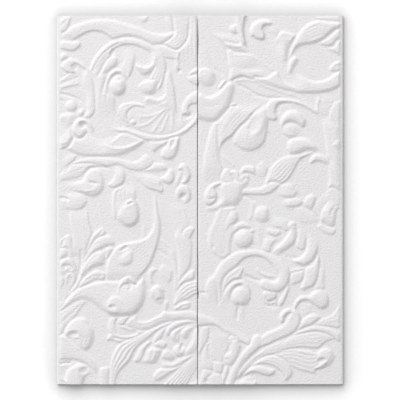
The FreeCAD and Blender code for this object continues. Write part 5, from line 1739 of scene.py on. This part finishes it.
CELL = 0.5                 # width of the finest cells of a pressed leaf, in millimetres
COARSE = 4                 # finest cells along the side of a coarse one
LEVEL_ERROR = {4: 0.034, 2: 0.023}   # how far a cell so many columns wide may miss the relief, in mm
ROUND_COLUMNS = 12         # columns round a fold
ROUND_ROWS = 8             # rows in each cell of a fold
BACK_COLUMNS = 16
BACK_ROWS = 40             # rows in each cell of the back
PLAIN_STRIP = 1.6          # the pressing dies away over this strip beside a fold, in millimetres
EDGE_PULL = 3.0            # how far in from the free edge its waves are felt, in millimetres
EDGE_ROLL = 0.25           # how far the cut crushes down the top of a free edge, in millimetres
EDGE_ROLL_WIDTH = 0.7      # width of the crushed strip, in millimetres
PRESS_ROOM = 1.02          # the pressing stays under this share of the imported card's height
CEILING_EASE = 0.2         # the tallest forms are flattened over this much of their top, in millimetres
UNDERSIDE_REACH = 1.5      # the back of the paper follows the lowest height this near, in millimetres
FIELD_MARGIN = 1.5         # the field reaches this far past the card's edges, in millimetres
LEFT_FIELD_END = 0.0       # where the left leaf's field stops, past its free edge, in millimetres
RIGHT_FIELD_START = -2.5   # where the right leaf's field starts, before its free edge

# Where the right leaf's free edge falls back: the place along the edge, the reach and the depth of each
# wave, in millimetres.
EDGE_WAVES = ((86.5, 5.0, 0.25), (63.0, 1.5, 0.3), (-38.0, 10.0, 0.15), (-51.0, 2.0, 0.3),
              (-71.0, 3.0, 0.25))


def pressed_field(side, groups):
    """The whole relief of one leaf, from -1 the left to +1 the right, group by group."""
    width = HALF_WIDTH / MM + FIELD_MARGIN
    height = HALF_HEIGHT / MM + FIELD_MARGIN
    left, right = (-width, LEFT_FIELD_END) if side < 0 else (RIGHT_FIELD_START, width)
    field = Field(left, right, -height, height)
    for group in groups:
        group(field)
    field.finish()
    return field


def edge_wave(y):
    """How far the right leaf's free edge falls back at each height, in millimetres."""
    return sum(depth * np.exp(-((y - place) / reach) ** 2) for place, reach, depth in EDGE_WAVES)


def under_ceiling(height, knee, ease):
    """Heights past the knee are eased off, so that none rises more than ease above it."""
    over = np.maximum(height - knee, 0)
    return np.minimum(height, knee) + ease * (1 - np.exp(-over / ease))


class Outline:
    """The sheet seen from its lower edge, as columns from the left free edge round the back to the right.

    Each column has its place on the outer face, the way out from it and its leaf: -1, +1 or 0 off the
    leaves."""

    def __init__(self, sheet):
        self.thickness = sheet.thickness
        self.radius = sheet.fold_radius
        self.lift = sheet.leaf_lift
        self.fold_x = HALF_WIDTH - self.radius
        right_leaf = 2 * HALF_WIDTH - sheet.seam_gap - sheet.left_leaf
        left = self.half(-1, sheet.left_leaf)
        right = self.half(1, right_leaf)
        flat = np.linspace(-self.fold_x, self.fold_x, BACK_COLUMNS + 1)[1:-1]
        back = [(x, 0.0, 0.0, -1.0, 0) for x in flat]
        columns = np.array(left + back + right[::-1])
        self.x, self.z, self.way_x, self.way_z, self.leaf = columns.T
        self.last = len(columns) - 1
        self.bend_start = self.leaf_columns(sheet.left_leaf)
        self.right_start = self.last - self.leaf_columns(right_leaf)

    def leaf_columns(self, width):
        """How many columns a leaf's level run has, a whole number of coarse cells."""
        return COARSE * round((width - self.radius) / MM / CELL / COARSE)

    def half(self, side, width):
        """One leaf from its free edge to the fold, then the round down to the back."""
        top = math.pi / 2 - self.lift
        columns = self.leaf_columns(width)
        rows = []
        for step in range(columns + 1):
            along = (width - self.radius) * (1 - step / columns)
            x = side * (self.fold_x + self.radius * math.cos(top) - along)
            z = self.radius * (1 + math.sin(top)) + along * math.tan(self.lift)
            rows.append((x, z, side * math.cos(top), math.sin(top), side))
        for step in range(1, ROUND_COLUMNS + 1):
            angle = top - (top + math.pi / 2) * step / ROUND_COLUMNS
            across = side * math.cos(angle)
            x = side * self.fold_x + self.radius * across
            z = self.radius * (1 + math.sin(angle))
            rows.append((x, z, across, math.sin(angle), 0))
        return rows


def leaf_cells(heights, first_column):
    """Square cells over a leaf, large where its relief is even and small where it isn't."""
    cells = []
    blocks = [(i, j, COARSE) for i in range(0, heights.shape[0] - 1, COARSE)
              for j in range(0, heights.shape[1] - 1, COARSE)]
    while blocks:
        i, j, size = blocks.pop()
        if size > 1 and level_miss(heights[i:i + size + 1, j:j + size + 1]) > LEVEL_ERROR[size]:
            half = size // 2
            blocks += [(i + a, j + b, half) for a in (0, half) for b in (0, half)]
        else:
            cells.append((first_column + i, j, size, size))
    return cells


def level_miss(patch):
    """How far a patch of heights strays from the even surface between its four corners."""
    u = np.linspace(0, 1, len(patch))[:, None]
    v = u.T
    first = patch[0, 0] * (1 - u) + patch[-1, 0] * u
    last = patch[0, -1] * (1 - u) + patch[-1, -1] * u
    return np.abs(patch - (first * (1 - v) + last * v)).max()


def strip_cells(first, last, rows, height):
    """Cells one column wide."""
    return [(i, j, 1, height) for i in range(first, last) for j in range(0, rows, height)]


def plain_cells(outline, rows):
    """The cells of both rounds and the back, which have no pressing."""
    back_start = outline.bend_start + ROUND_COLUMNS
    cells = strip_cells(outline.bend_start, back_start, rows, ROUND_ROWS)
    cells += strip_cells(outline.right_start - ROUND_COLUMNS, outline.right_start, rows, ROUND_ROWS)
    return cells + strip_cells(back_start, back_start + BACK_COLUMNS, rows, BACK_ROWS)


def inner_cells(outline, rows):
    """The coarse cells of the hidden side of both leaves."""
    leaves = ((0, outline.bend_start), (outline.right_start, outline.last))
    return [(i, j, COARSE, COARSE) for start, stop in leaves
            for i in range(start, stop, COARSE) for j in range(0, rows, COARSE)]


def mark_corners(used, cells):
    """Marks the four corners of each cell as used."""
    for i, j, wide, high in cells:
        used[i, j] = used[i + wide, j] = used[i, j + high] = used[i + wide, j + high] = True


def cell_faces(cells, used, index, flip):
    """A face for each cell, with every used point on its border, so that fine cells meet coarse ones."""
    faces = []
    for i, j, wide, high in cells:
        path = [(i + k, j) for k in range(wide)]
        path += [(i + wide, j + k) for k in range(high)]
        path += [(i + wide - k, j + high) for k in range(wide)]
        path += [(i, j + high - k) for k in range(high)]
        face = [index[spot] for spot in path if used[spot]]
        faces.append(face[::-1] if flip else face)
    return faces


def border(used):
    """The used points round the edge of the whole sheet, in order."""
    last_column = used.shape[0] - 1
    last_row = used.shape[1] - 1
    path = [(i, 0) for i in range(last_column)]
    path += [(last_column, j) for j in range(last_row)]
    path += [(last_column - i, last_row) for i in range(last_column)]
    path += [(0, last_row - j) for j in range(last_row)]
    return [spot for spot in path if used[spot]]


class Pressing:
    """How far each point of the sheet's grid is pressed out, in front and behind, and pulled aside."""

    def __init__(self, outline, y):
        shape = (len(outline.x), len(y))
        self.front = np.zeros(shape)
        self.behind = np.zeros(shape)
        self.shift = np.zeros(shape)
        for side, groups in ((-1, LEFT_LEAF), (1, RIGHT_LEAF)):
            self.press_leaf(outline, y, side, pressed_field(side, groups))

    def press_leaf(self, outline, y, side, field):
        """Presses one leaf under the ceiling, plain beside its fold and crushed along its free edge."""
        columns = np.flatnonzero(outline.leaf == side)
        x_mm = outline.x[columns, None] / MM + 0 * y
        y_mm = y / MM + 0 * x_mm
        from_edge = np.abs(x_mm - x_mm[0 if side < 0 else -1])
        strip = smooth((outline.fold_x / MM - np.abs(x_mm)) / PLAIN_STRIP)
        front = field.at(x_mm, y_mm) * strip * MM
        front -= EDGE_ROLL * smooth(1 - from_edge / EDGE_ROLL_WIDTH) * MM
        room = CAD_TOP * PRESS_ROOM - outline.z[columns, None]
        self.front[columns] = under_ceiling(front, room - CEILING_EASE * MM, CEILING_EASE * MM)
        self.behind[columns] = field.at(x_mm, y_mm, field.underside(UNDERSIDE_REACH)) * strip * MM
        if side > 0:
            self.shift[columns] = edge_wave(y_mm) * smooth(1 - from_edge / EDGE_PULL) * MM


class Skins:
    """The points and faces of the sheet's outer and inner side, and of the cut rim between them."""

    def __init__(self, outline, y, pressing):
        self.outline = outline
        self.y = y
        self.pressing = pressing
        self.points = []
        self.ways = []
        self.depths = []
        self.faces = []
        rows = len(y) - 1
        plain = plain_cells(outline, rows)
        outer = leaf_cells(pressing.front[:outline.bend_start + 1] / MM, 0)
        outer += leaf_cells(pressing.front[outline.right_start:] / MM, outline.right_start)
        sides = (outer + plain, inner_cells(outline, rows) + plain)
        used = [np.zeros(pressing.front.shape, bool) for _ in sides]
        for marks, cells in zip(used, sides):
            mark_corners(marks, cells)
        rim = border(used[0] | used[1])
        for spot in rim:
            used[0][spot] = used[1][spot] = True
        outside = self.add_side(used[0], sides[0], pressing.front, 0.0, flip=True)
        within = self.add_side(used[1], sides[1], pressing.behind, outline.thickness, flip=False)
        for a, b in zip(rim, rim[1:] + rim[:1]):
            self.faces.append([outside[a], outside[b], within[b], within[a]])
        self.rims = [[index[spot] for spot in rim] for index in (outside, within)]

    def add_side(self, used, cells, depth, inward, flip):
        """Adds one side of the sheet, and returns the number of each of its points."""
        outline = self.outline
        column, row = np.nonzero(used)
        index = np.full(used.shape, -1)
        index[column, row] = sum(map(len, self.points)) + np.arange(len(column))
        way_x = outline.way_x[column]
        way_z = outline.way_z[column]
        across = outline.x[column] - way_x * inward + self.pressing.shift[column, row]
        up = outline.z[column] - way_z * inward
        self.points.append(np.stack([across, self.y[row], up], 1))
        self.ways.append(np.stack([way_x, 0 * up, way_z], 1))
        self.depths.append(depth[column, row])
        self.faces += cell_faces(cells, used, index, flip)
        return index


def sheet_mesh(sheet):
    """The closed mesh of the folded sheet, still flat, with its pressing kept as attributes."""
    outline = Outline(sheet)
    rows = COARSE * round(2 * HALF_HEIGHT / MM / CELL / COARSE)
    y = np.linspace(-HALF_HEIGHT, HALF_HEIGHT, rows + 1)
    skins = Skins(outline, y, Pressing(outline, y))
    mesh = bpy.data.meshes.new("pressed_sheet")
    mesh.from_pydata(np.concatenate(skins.points).tolist(), [], skins.faces)
    ways = np.concatenate(skins.ways).astype(np.float32).ravel()
    mesh.attributes.new("press_way", "FLOAT_VECTOR", "POINT").data.foreach_set("vector", ways)
    depths = np.concatenate(skins.depths).astype(np.float32)
    mesh.attributes.new("pressing", "FLOAT", "POINT").data.foreach_set("value", depths)
    mark_rims(mesh, skins.rims)
    return mesh


def mark_rims(mesh, rims):
    """Keeps the cut edges of the sheet crisp."""
    rim_of = np.zeros(len(mesh.vertices), int)
    for number, rim in enumerate(rims):
        rim_of[rim] = number + 1
    ends = np.zeros(2 * len(mesh.edges), int)
    mesh.edges.foreach_get("vertices", ends)
    pairs = rim_of[ends.reshape(-1, 2)]
    crisp = (pairs[:, 0] == pairs[:, 1]) & (pairs[:, 0] > 0)
    mesh.attributes.new("sharp_edge", "BOOLEAN", "EDGE").data.foreach_set("value", crisp)


# ---- The nodes -----------------------------------------------------------------------------------

class Nodes:
    """Adds the nodes of one tree, each by its type, its settings and what goes into its sockets.

    A socket is given by its name, with _ for a space, or by its number after an _."""

    def __init__(self, tree):
        self.tree = tree

    def add(self, kind, settings=None, **sockets):
        """Adds a node, sets it up and feeds its sockets."""
        node = self.tree.nodes.new(kind)
        for name, value in (settings or {}).items():
            setattr(node, name, value)
        for name, value in sockets.items():
            numbered = name[0] == "_" and name[1:].isdigit()
            self.feed(node.inputs[int(name[1:]) if numbered else name.replace("_", " ")], value)
        return node

    def feed(self, socket, value):
        """Links a wire to a socket, or sets the socket's own value."""
        if isinstance(value, Wire):
            self.tree.links.new(value.socket, socket)
        else:
            socket.default_value = value

    def wire(self, kind, output, settings=None, **sockets):
        """Adds a node and returns one of its outputs."""
        return Wire(self, self.add(kind, settings, **sockets).outputs[output])


class Wire:
    """A socket's value, on which sums are written as expressions."""

    def __init__(self, nodes, socket):
        self.nodes = nodes
        self.socket = socket

    def sum(self, operation, first, second):
        """One sum on two values, of which at least one is a wire."""
        return self.nodes.wire("ShaderNodeMath", 0, {"operation": operation}, _0=first, _1=second)

    def __add__(self, other):
        return self.sum("ADD", self, other)

    __radd__ = __add__

    def __sub__(self, other):
        return self.sum("SUBTRACT", self, other)

    def __rsub__(self, other):
        return self.sum("SUBTRACT", other, self)

    def __mul__(self, other):
        return self.sum("MULTIPLY", self, other)

    __rmul__ = __mul__

    def __truediv__(self, other):
        return self.sum("DIVIDE", self, other)

    def __rtruediv__(self, other):
        return self.sum("DIVIDE", other, self)

    def at_most(self, other):
        return self.sum("MINIMUM", self, other)

    def at_least(self, other):
        return self.sum("MAXIMUM", self, other)

    def power(self, other):
        return self.sum("POWER", self, other)


def pressing_tree(paper):
    """Presses a flat sheet along its own ways, to the share of its full height that is asked for."""
    tree = bpy.data.node_groups.new("press_sheet", "GeometryNodeTree")
    tree.interface.new_socket("Sheet", in_out="INPUT", socket_type="NodeSocketGeometry")
    share = tree.interface.new_socket("Relief Height", in_out="INPUT", socket_type="NodeSocketFloat")
    share.default_value = 1.0
    share.min_value = 0.0
    share.max_value = 1.0
    tree.interface.new_socket("Sheet", in_out="OUTPUT", socket_type="NodeSocketGeometry")
    nodes = Nodes(tree)
    attribute = "GeometryNodeInputNamedAttribute"
    start = nodes.add("NodeGroupInput")
    flat = Wire(nodes, start.outputs["Sheet"])
    way = nodes.wire(attribute, 0, {"data_type": "FLOAT_VECTOR"}, Name="press_way")
    depth = nodes.wire(attribute, 0, {"data_type": "FLOAT"}, Name="pressing")
    rise = depth * Wire(nodes, start.outputs["Relief Height"])
    offset = nodes.wire("ShaderNodeVectorMath", 0, {"operation": "SCALE"}, _0=way, Scale=rise)
    pressed = nodes.wire("GeometryNodeSetPosition", 0, Geometry=flat, Offset=offset)
    even = nodes.wire("GeometryNodeSetShadeSmooth", 0, Geometry=pressed, Shade_Smooth=True)
    real = nodes.wire("GeometryNodeRealizeInstances", 0, Geometry=even)
    finished = nodes.wire("GeometryNodeSetMaterial", 0, Geometry=real, Material=paper)
    nodes.add("NodeGroupOutput", Sheet=finished)
    return tree, share.identifier


def make_sheet(sheet, paper_values):
    """Makes the folded and pressed sheet, which stands for the frame's own."""
    if list(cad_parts) != ["folded_sheet"]:
        raise RuntimeError("the frame should hold the folded sheet and nothing else")
    flat = sheet_mesh(sheet)
    piece = bpy.data.objects.new("pressed_sheet", flat)
    bpy.context.scene.collection.objects.link(piece)
    tree, share = pressing_tree(paper_material(paper_values))
    press = piece.modifiers.new("press", "NODES")
    press.node_group = tree
    press[share] = sheet.relief
    depsgraph = bpy.context.evaluated_depsgraph_get()
    shaped = piece.evaluated_get(depsgraph)
    mesh = bpy.data.meshes.new_from_object(shaped, preserve_all_data_layers=True, depsgraph=depsgraph)
    piece.modifiers.clear()
    piece.data = mesh
    mesh.name = "pressed_sheet"
    bpy.data.meshes.remove(flat)
    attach(piece, "root")
    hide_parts("folded_sheet")


# ---- The paper ------------------------------------------------------------------------------------

# The small specks of dirt on the two leaves: the place and the radius of each, in millimetres.
SPECKS = ((-38.0, 89.0, 0.32), (-48.5, 35.7, 0.30), (7.2, 23.7, 0.32), (65.5, 28.5, 0.28),
          (59.0, 7.5, 0.28), (5.0, 16.0, 0.26), (70.0, -78.8, 0.28), (23.7, -64.4, 0.28))
SPECK_DEPTH = 0.22         # how much darker a speck is than the paper
SPECK_EDGE = 1.5           # a speck has gone at this many radii
MOTTLE_SIZE = 26 * MM      # width of the faint cloudiness of the paper
MOTTLE_DEPTH = 0.012       # how much the cloudiness lightens or darkens the paper
FIBRE_DEPTH = 0.08         # how much the grain lightens or darkens the paper
ROUGHNESS = 0.78
ROUGHNESS_SPREAD = 0.1     # how much the roughness changes over the grain
SHEEN_LEVEL = 0.3          # how strongly the bare paper mirrors
NOISE_DETAIL = 2.0
GRAIN_ROUGHNESS = 0.6      # how much of the grain is in its finer marks


def paper_material(paper):
    """Uncoated felt-marked paper: faintly mottled, with a fine grain and a few specks of dirt."""
    material = bpy.data.materials.new("pressed_paper")
    material.use_nodes = True
    material.node_tree.nodes.clear()
    nodes = Nodes(material.node_tree)
    place = nodes.wire("ShaderNodeTexCoord", "Object")
    mottle = nodes.wire("ShaderNodeTexNoise", 0, Vector=place, Scale=1 / MOTTLE_SIZE,
                        Detail=NOISE_DETAIL)
    grain = nodes.wire("ShaderNodeTexNoise", 0, Vector=place, Scale=1 / paper.grain_size,
                       Detail=NOISE_DETAIL, Roughness=GRAIN_ROUGHNESS)
    tone = 1 + (mottle - 0.5) * (2 * MOTTLE_DEPTH) + (grain - 0.5) * (2 * FIBRE_DEPTH)
    flat_place = nodes.wire("ShaderNodeVectorMath", 0, {"operation": "MULTIPLY"}, _0=place, _1=(1, 1, 0))
    for x, y, radius in SPECKS:
        apart = nodes.wire("ShaderNodeVectorMath", "Value", {"operation": "DISTANCE"}, _0=flat_place,
                           _1=(x * MM, y * MM, 0))
        speck = (SPECK_EDGE - apart / (radius * MM)).at_least(0).at_most(1)
        tone = tone - speck * SPECK_DEPTH
    colour = nodes.wire("ShaderNodeVectorMath", 0, {"operation": "SCALE"}, _0=tuple(paper.colour),
                        Scale=tone)
    bump = nodes.wire("ShaderNodeBump", 0, Strength=1.0, Distance=paper.grain_depth, Height=grain)
    roughness = ROUGHNESS + (grain - 0.5) * ROUGHNESS_SPREAD
    surface = nodes.wire("ShaderNodeBsdfPrincipled", 0, Base_Color=colour, Roughness=roughness,
                         Specular_IOR_Level=SHEEN_LEVEL, Normal=bump)
    nodes.add("ShaderNodeOutputMaterial", Surface=surface)
    return material


# ---- The stage ------------------------------------------------------------------------------------

CAMERA_HEIGHT = 1.5
VIEW_WIDTH = 217.6 * MM    # width of the floor that the camera takes in, at the card's back
SENSOR = 36.0              # width of the camera's sensor, in millimetres
FLOOR_SIZE = 6.0
FLOOR_DROP = 0.05 * MM     # the floor lies this far under the card
# The soft shadow beside the card is painted into the floor's colour from an occlusion term. These set its
# reach, samples, lean and spread.
PAINTED_SHADOW_REACH = 20 * MM
PAINTED_SHADOW_SAMPLES = 32
PAINTED_SHADOW_LEAN = (-0.2, 0.3, 0.93)   # the side that the soft shadow's light comes from
PAINTED_SHADOW_SPREAD = 0.35       # the smaller, the wider the soft shadow
LAMP_STEPS = 12            # parts of the lamp's width over which its light is summed
LAMP_NAME = "key_lamp"


def floor_material(stage):
    """A pale floor that looks white to the camera. A broad soft shadow is painted into its colour beside
    what stands on it, on top of the real shadow that it catches.
    """
    material = bpy.data.materials.new("pale_floor")
    material.use_nodes = True
    material.node_tree.nodes.clear()
    nodes = Nodes(material.node_tree)
    seen = Wire(nodes, nodes.add("ShaderNodeLightPath").outputs["Is Camera Ray"])
    open_sky = nodes.wire("ShaderNodeAmbientOcclusion", "AO", {"samples": PAINTED_SHADOW_SAMPLES},
                          Distance=PAINTED_SHADOW_REACH, Normal=PAINTED_SHADOW_LEAN)
    # Painted shadow: the occlusion term darkens the floor's colour for the camera beside the card. No lamp
    # casts this shadow.
    soft = 1 - (1 - open_sky).power(PAINTED_SHADOW_SPREAD) * stage.painted_shadow_depth
    plain = nodes.wire("ShaderNodeBsdfDiffuse", 0, Color=(*stage.floor_colour, 1))
    tone = nodes.wire("ShaderNodeVectorMath", 0, {"operation": "SCALE"}, _0=tuple(stage.floor_colour),
                      Scale=soft * stage.floor_white)
    bright = nodes.wire("ShaderNodeBsdfDiffuse", 0, Color=tone)
    both = nodes.wire("ShaderNodeMixShader", 0, _0=seen, _1=plain, _2=bright)
    nodes.add("ShaderNodeOutputMaterial", Surface=both)
    return material


def make_floor(stage):
    """A wide square floor just under the card."""
    half = FLOOR_SIZE / 2
    level = CAD_BOX[0][2] - FLOOR_DROP
    corners_xy = ((-half, -half), (half, -half), (half, half), (-half, half))
    mesh = bpy.data.meshes.new("floor")
    mesh.from_pydata([(x, y, level) for x, y in corners_xy], [], [(0, 1, 2, 3)])
    mesh.materials.append(floor_material(stage))
    floor = bpy.data.objects.new("floor", mesh)
    bpy.context.scene.collection.objects.link(floor)


def light_reaching(towards, distance, size):
    """The share of a square lamp's light that falls on a level square metre at the card's middle."""
    turn = towards.to_track_quat("Z", "Y")
    total = 0.0
    for across in range(LAMP_STEPS):
        for along in range(LAMP_STEPS):
            x = (across + 0.5) / LAMP_STEPS - 0.5
            y = (along + 0.5) / LAMP_STEPS - 0.5
            spot = turn @ (Vector((x, y, 0)) * size) + towards * distance
            total += towards.dot(spot) * spot.z / spot.length ** 4
    return total / LAMP_STEPS ** 2


def make_lamp(stage):
    """A square lamp whose light falls on the card's middle with the asked share of the whole."""
    level = math.cos(stage.key_height)
    across = level * math.cos(stage.key_turn)
    along = level * math.sin(stage.key_turn)
    towards = Vector((across, along, math.sin(stage.key_height)))
    reaching = light_reaching(towards, stage.key_distance, stage.key_size)
    light = bpy.data.lights.new(LAMP_NAME, "AREA")
    light.size = stage.key_size
    light.energy = stage.key_share * math.pi ** 2 / reaching
    lamp = bpy.data.objects.new(LAMP_NAME, light)
    lamp.location = towards * stage.key_distance
    lamp.rotation_euler = towards.to_track_quat("Z", "Y").to_euler()
    bpy.context.scene.collection.objects.link(lamp)


def make_world(stage):
    """An even white surround, which lights the card softly from all sides."""
    world = bpy.data.worlds.new("soft_surround")
    world.use_nodes = True
    world.node_tree.nodes.clear()
    nodes = Nodes(world.node_tree)
    seen = Wire(nodes, nodes.add("ShaderNodeLightPath").outputs["Is Camera Ray"])
    soft = 1 - stage.key_share
    backdrop = nodes.wire("ShaderNodeBackground", 0, Color=(1, 1, 1, 1), Strength=soft + seen * (1 - soft))
    nodes.add("ShaderNodeOutputWorld", Surface=backdrop)
    bpy.context.scene.world = world


def make_camera():
    """A camera straight above the card, with the card's top edge up."""
    data = bpy.data.cameras.new("overhead")
    data.sensor_width = SENSOR
    data.lens = SENSOR * CAMERA_HEIGHT / VIEW_WIDTH
    camera = bpy.data.objects.new("overhead", data)
    camera.location = (0, 0, CAMERA_HEIGHT)
    bpy.context.scene.collection.objects.link(camera)
    bpy.context.scene.camera = camera


# ---- The add-on -----------------------------------------------------------------------------------

class CARD_OT_sheet(bpy.types.Operator):
    """Make the folded sheet of paper and press its scrollwork"""
    bl_idname = "card.sheet"
    bl_label = "Make Pressed Sheet"

    def execute(self, context):
        make_sheet(context.scene.card_sheet, context.scene.card_paper)
        return {"FINISHED"}


class CARD_OT_stage(bpy.types.Operator):
    """Make the floor, the light and the camera"""
    bl_idname = "card.stage"
    bl_label = "Make Stage"

    def execute(self, context):
        context.scene.view_settings.view_transform = "Standard"
        stage = context.scene.card_stage
        make_floor(stage)
        make_lamp(stage)
        make_world(stage)
        make_camera()
        return {"FINISHED"}


class CARD_PT_panel(bpy.types.Panel):
    """The card's sizes, colours and pieces"""
    bl_idname = "CARD_PT_panel"
    bl_label = "Pressed Gatefold Card"
    bl_space_type = "VIEW_3D"
    bl_region_type = "UI"
    bl_category = "Card"

    def draw(self, context):
        scene = context.scene
        self.draw_settings(scene.card_sheet)
        self.draw_settings(scene.card_paper)
        self.layout.operator("card.sheet")
        self.draw_settings(scene.card_stage)
        self.layout.operator("card.stage")

    def draw_settings(self, settings):
        """Lists every value of a group of settings."""
        for name in settings.bl_rna.properties.keys():
            if name not in ("rna_type", "name"):
                self.layout.prop(settings, name)


SETTINGS = {"card_sheet": SheetSettings, "card_paper": PaperSettings, "card_stage": StageSettings}
CLASSES = (*SETTINGS.values(), CARD_OT_sheet, CARD_OT_stage, CARD_PT_panel)


def register():
    """Registers the settings, the operators and the panel."""
    for each in CLASSES:
        bpy.utils.register_class(each)
    for name, group in SETTINGS.items():
        setattr(bpy.types.Scene, name, bpy.props.PointerProperty(type=group))


def unregister():
    """Takes the settings, the operators and the panel out again."""
    for name in SETTINGS:
        delattr(bpy.types.Scene, name)
    for each in reversed(CLASSES):
        bpy.utils.unregister_class(each)


def main():
    """Makes the stage and the sheet."""
    register()
    bpy.ops.card.stage()
    bpy.ops.card.sheet()


if __name__ == "__main__":
    main()
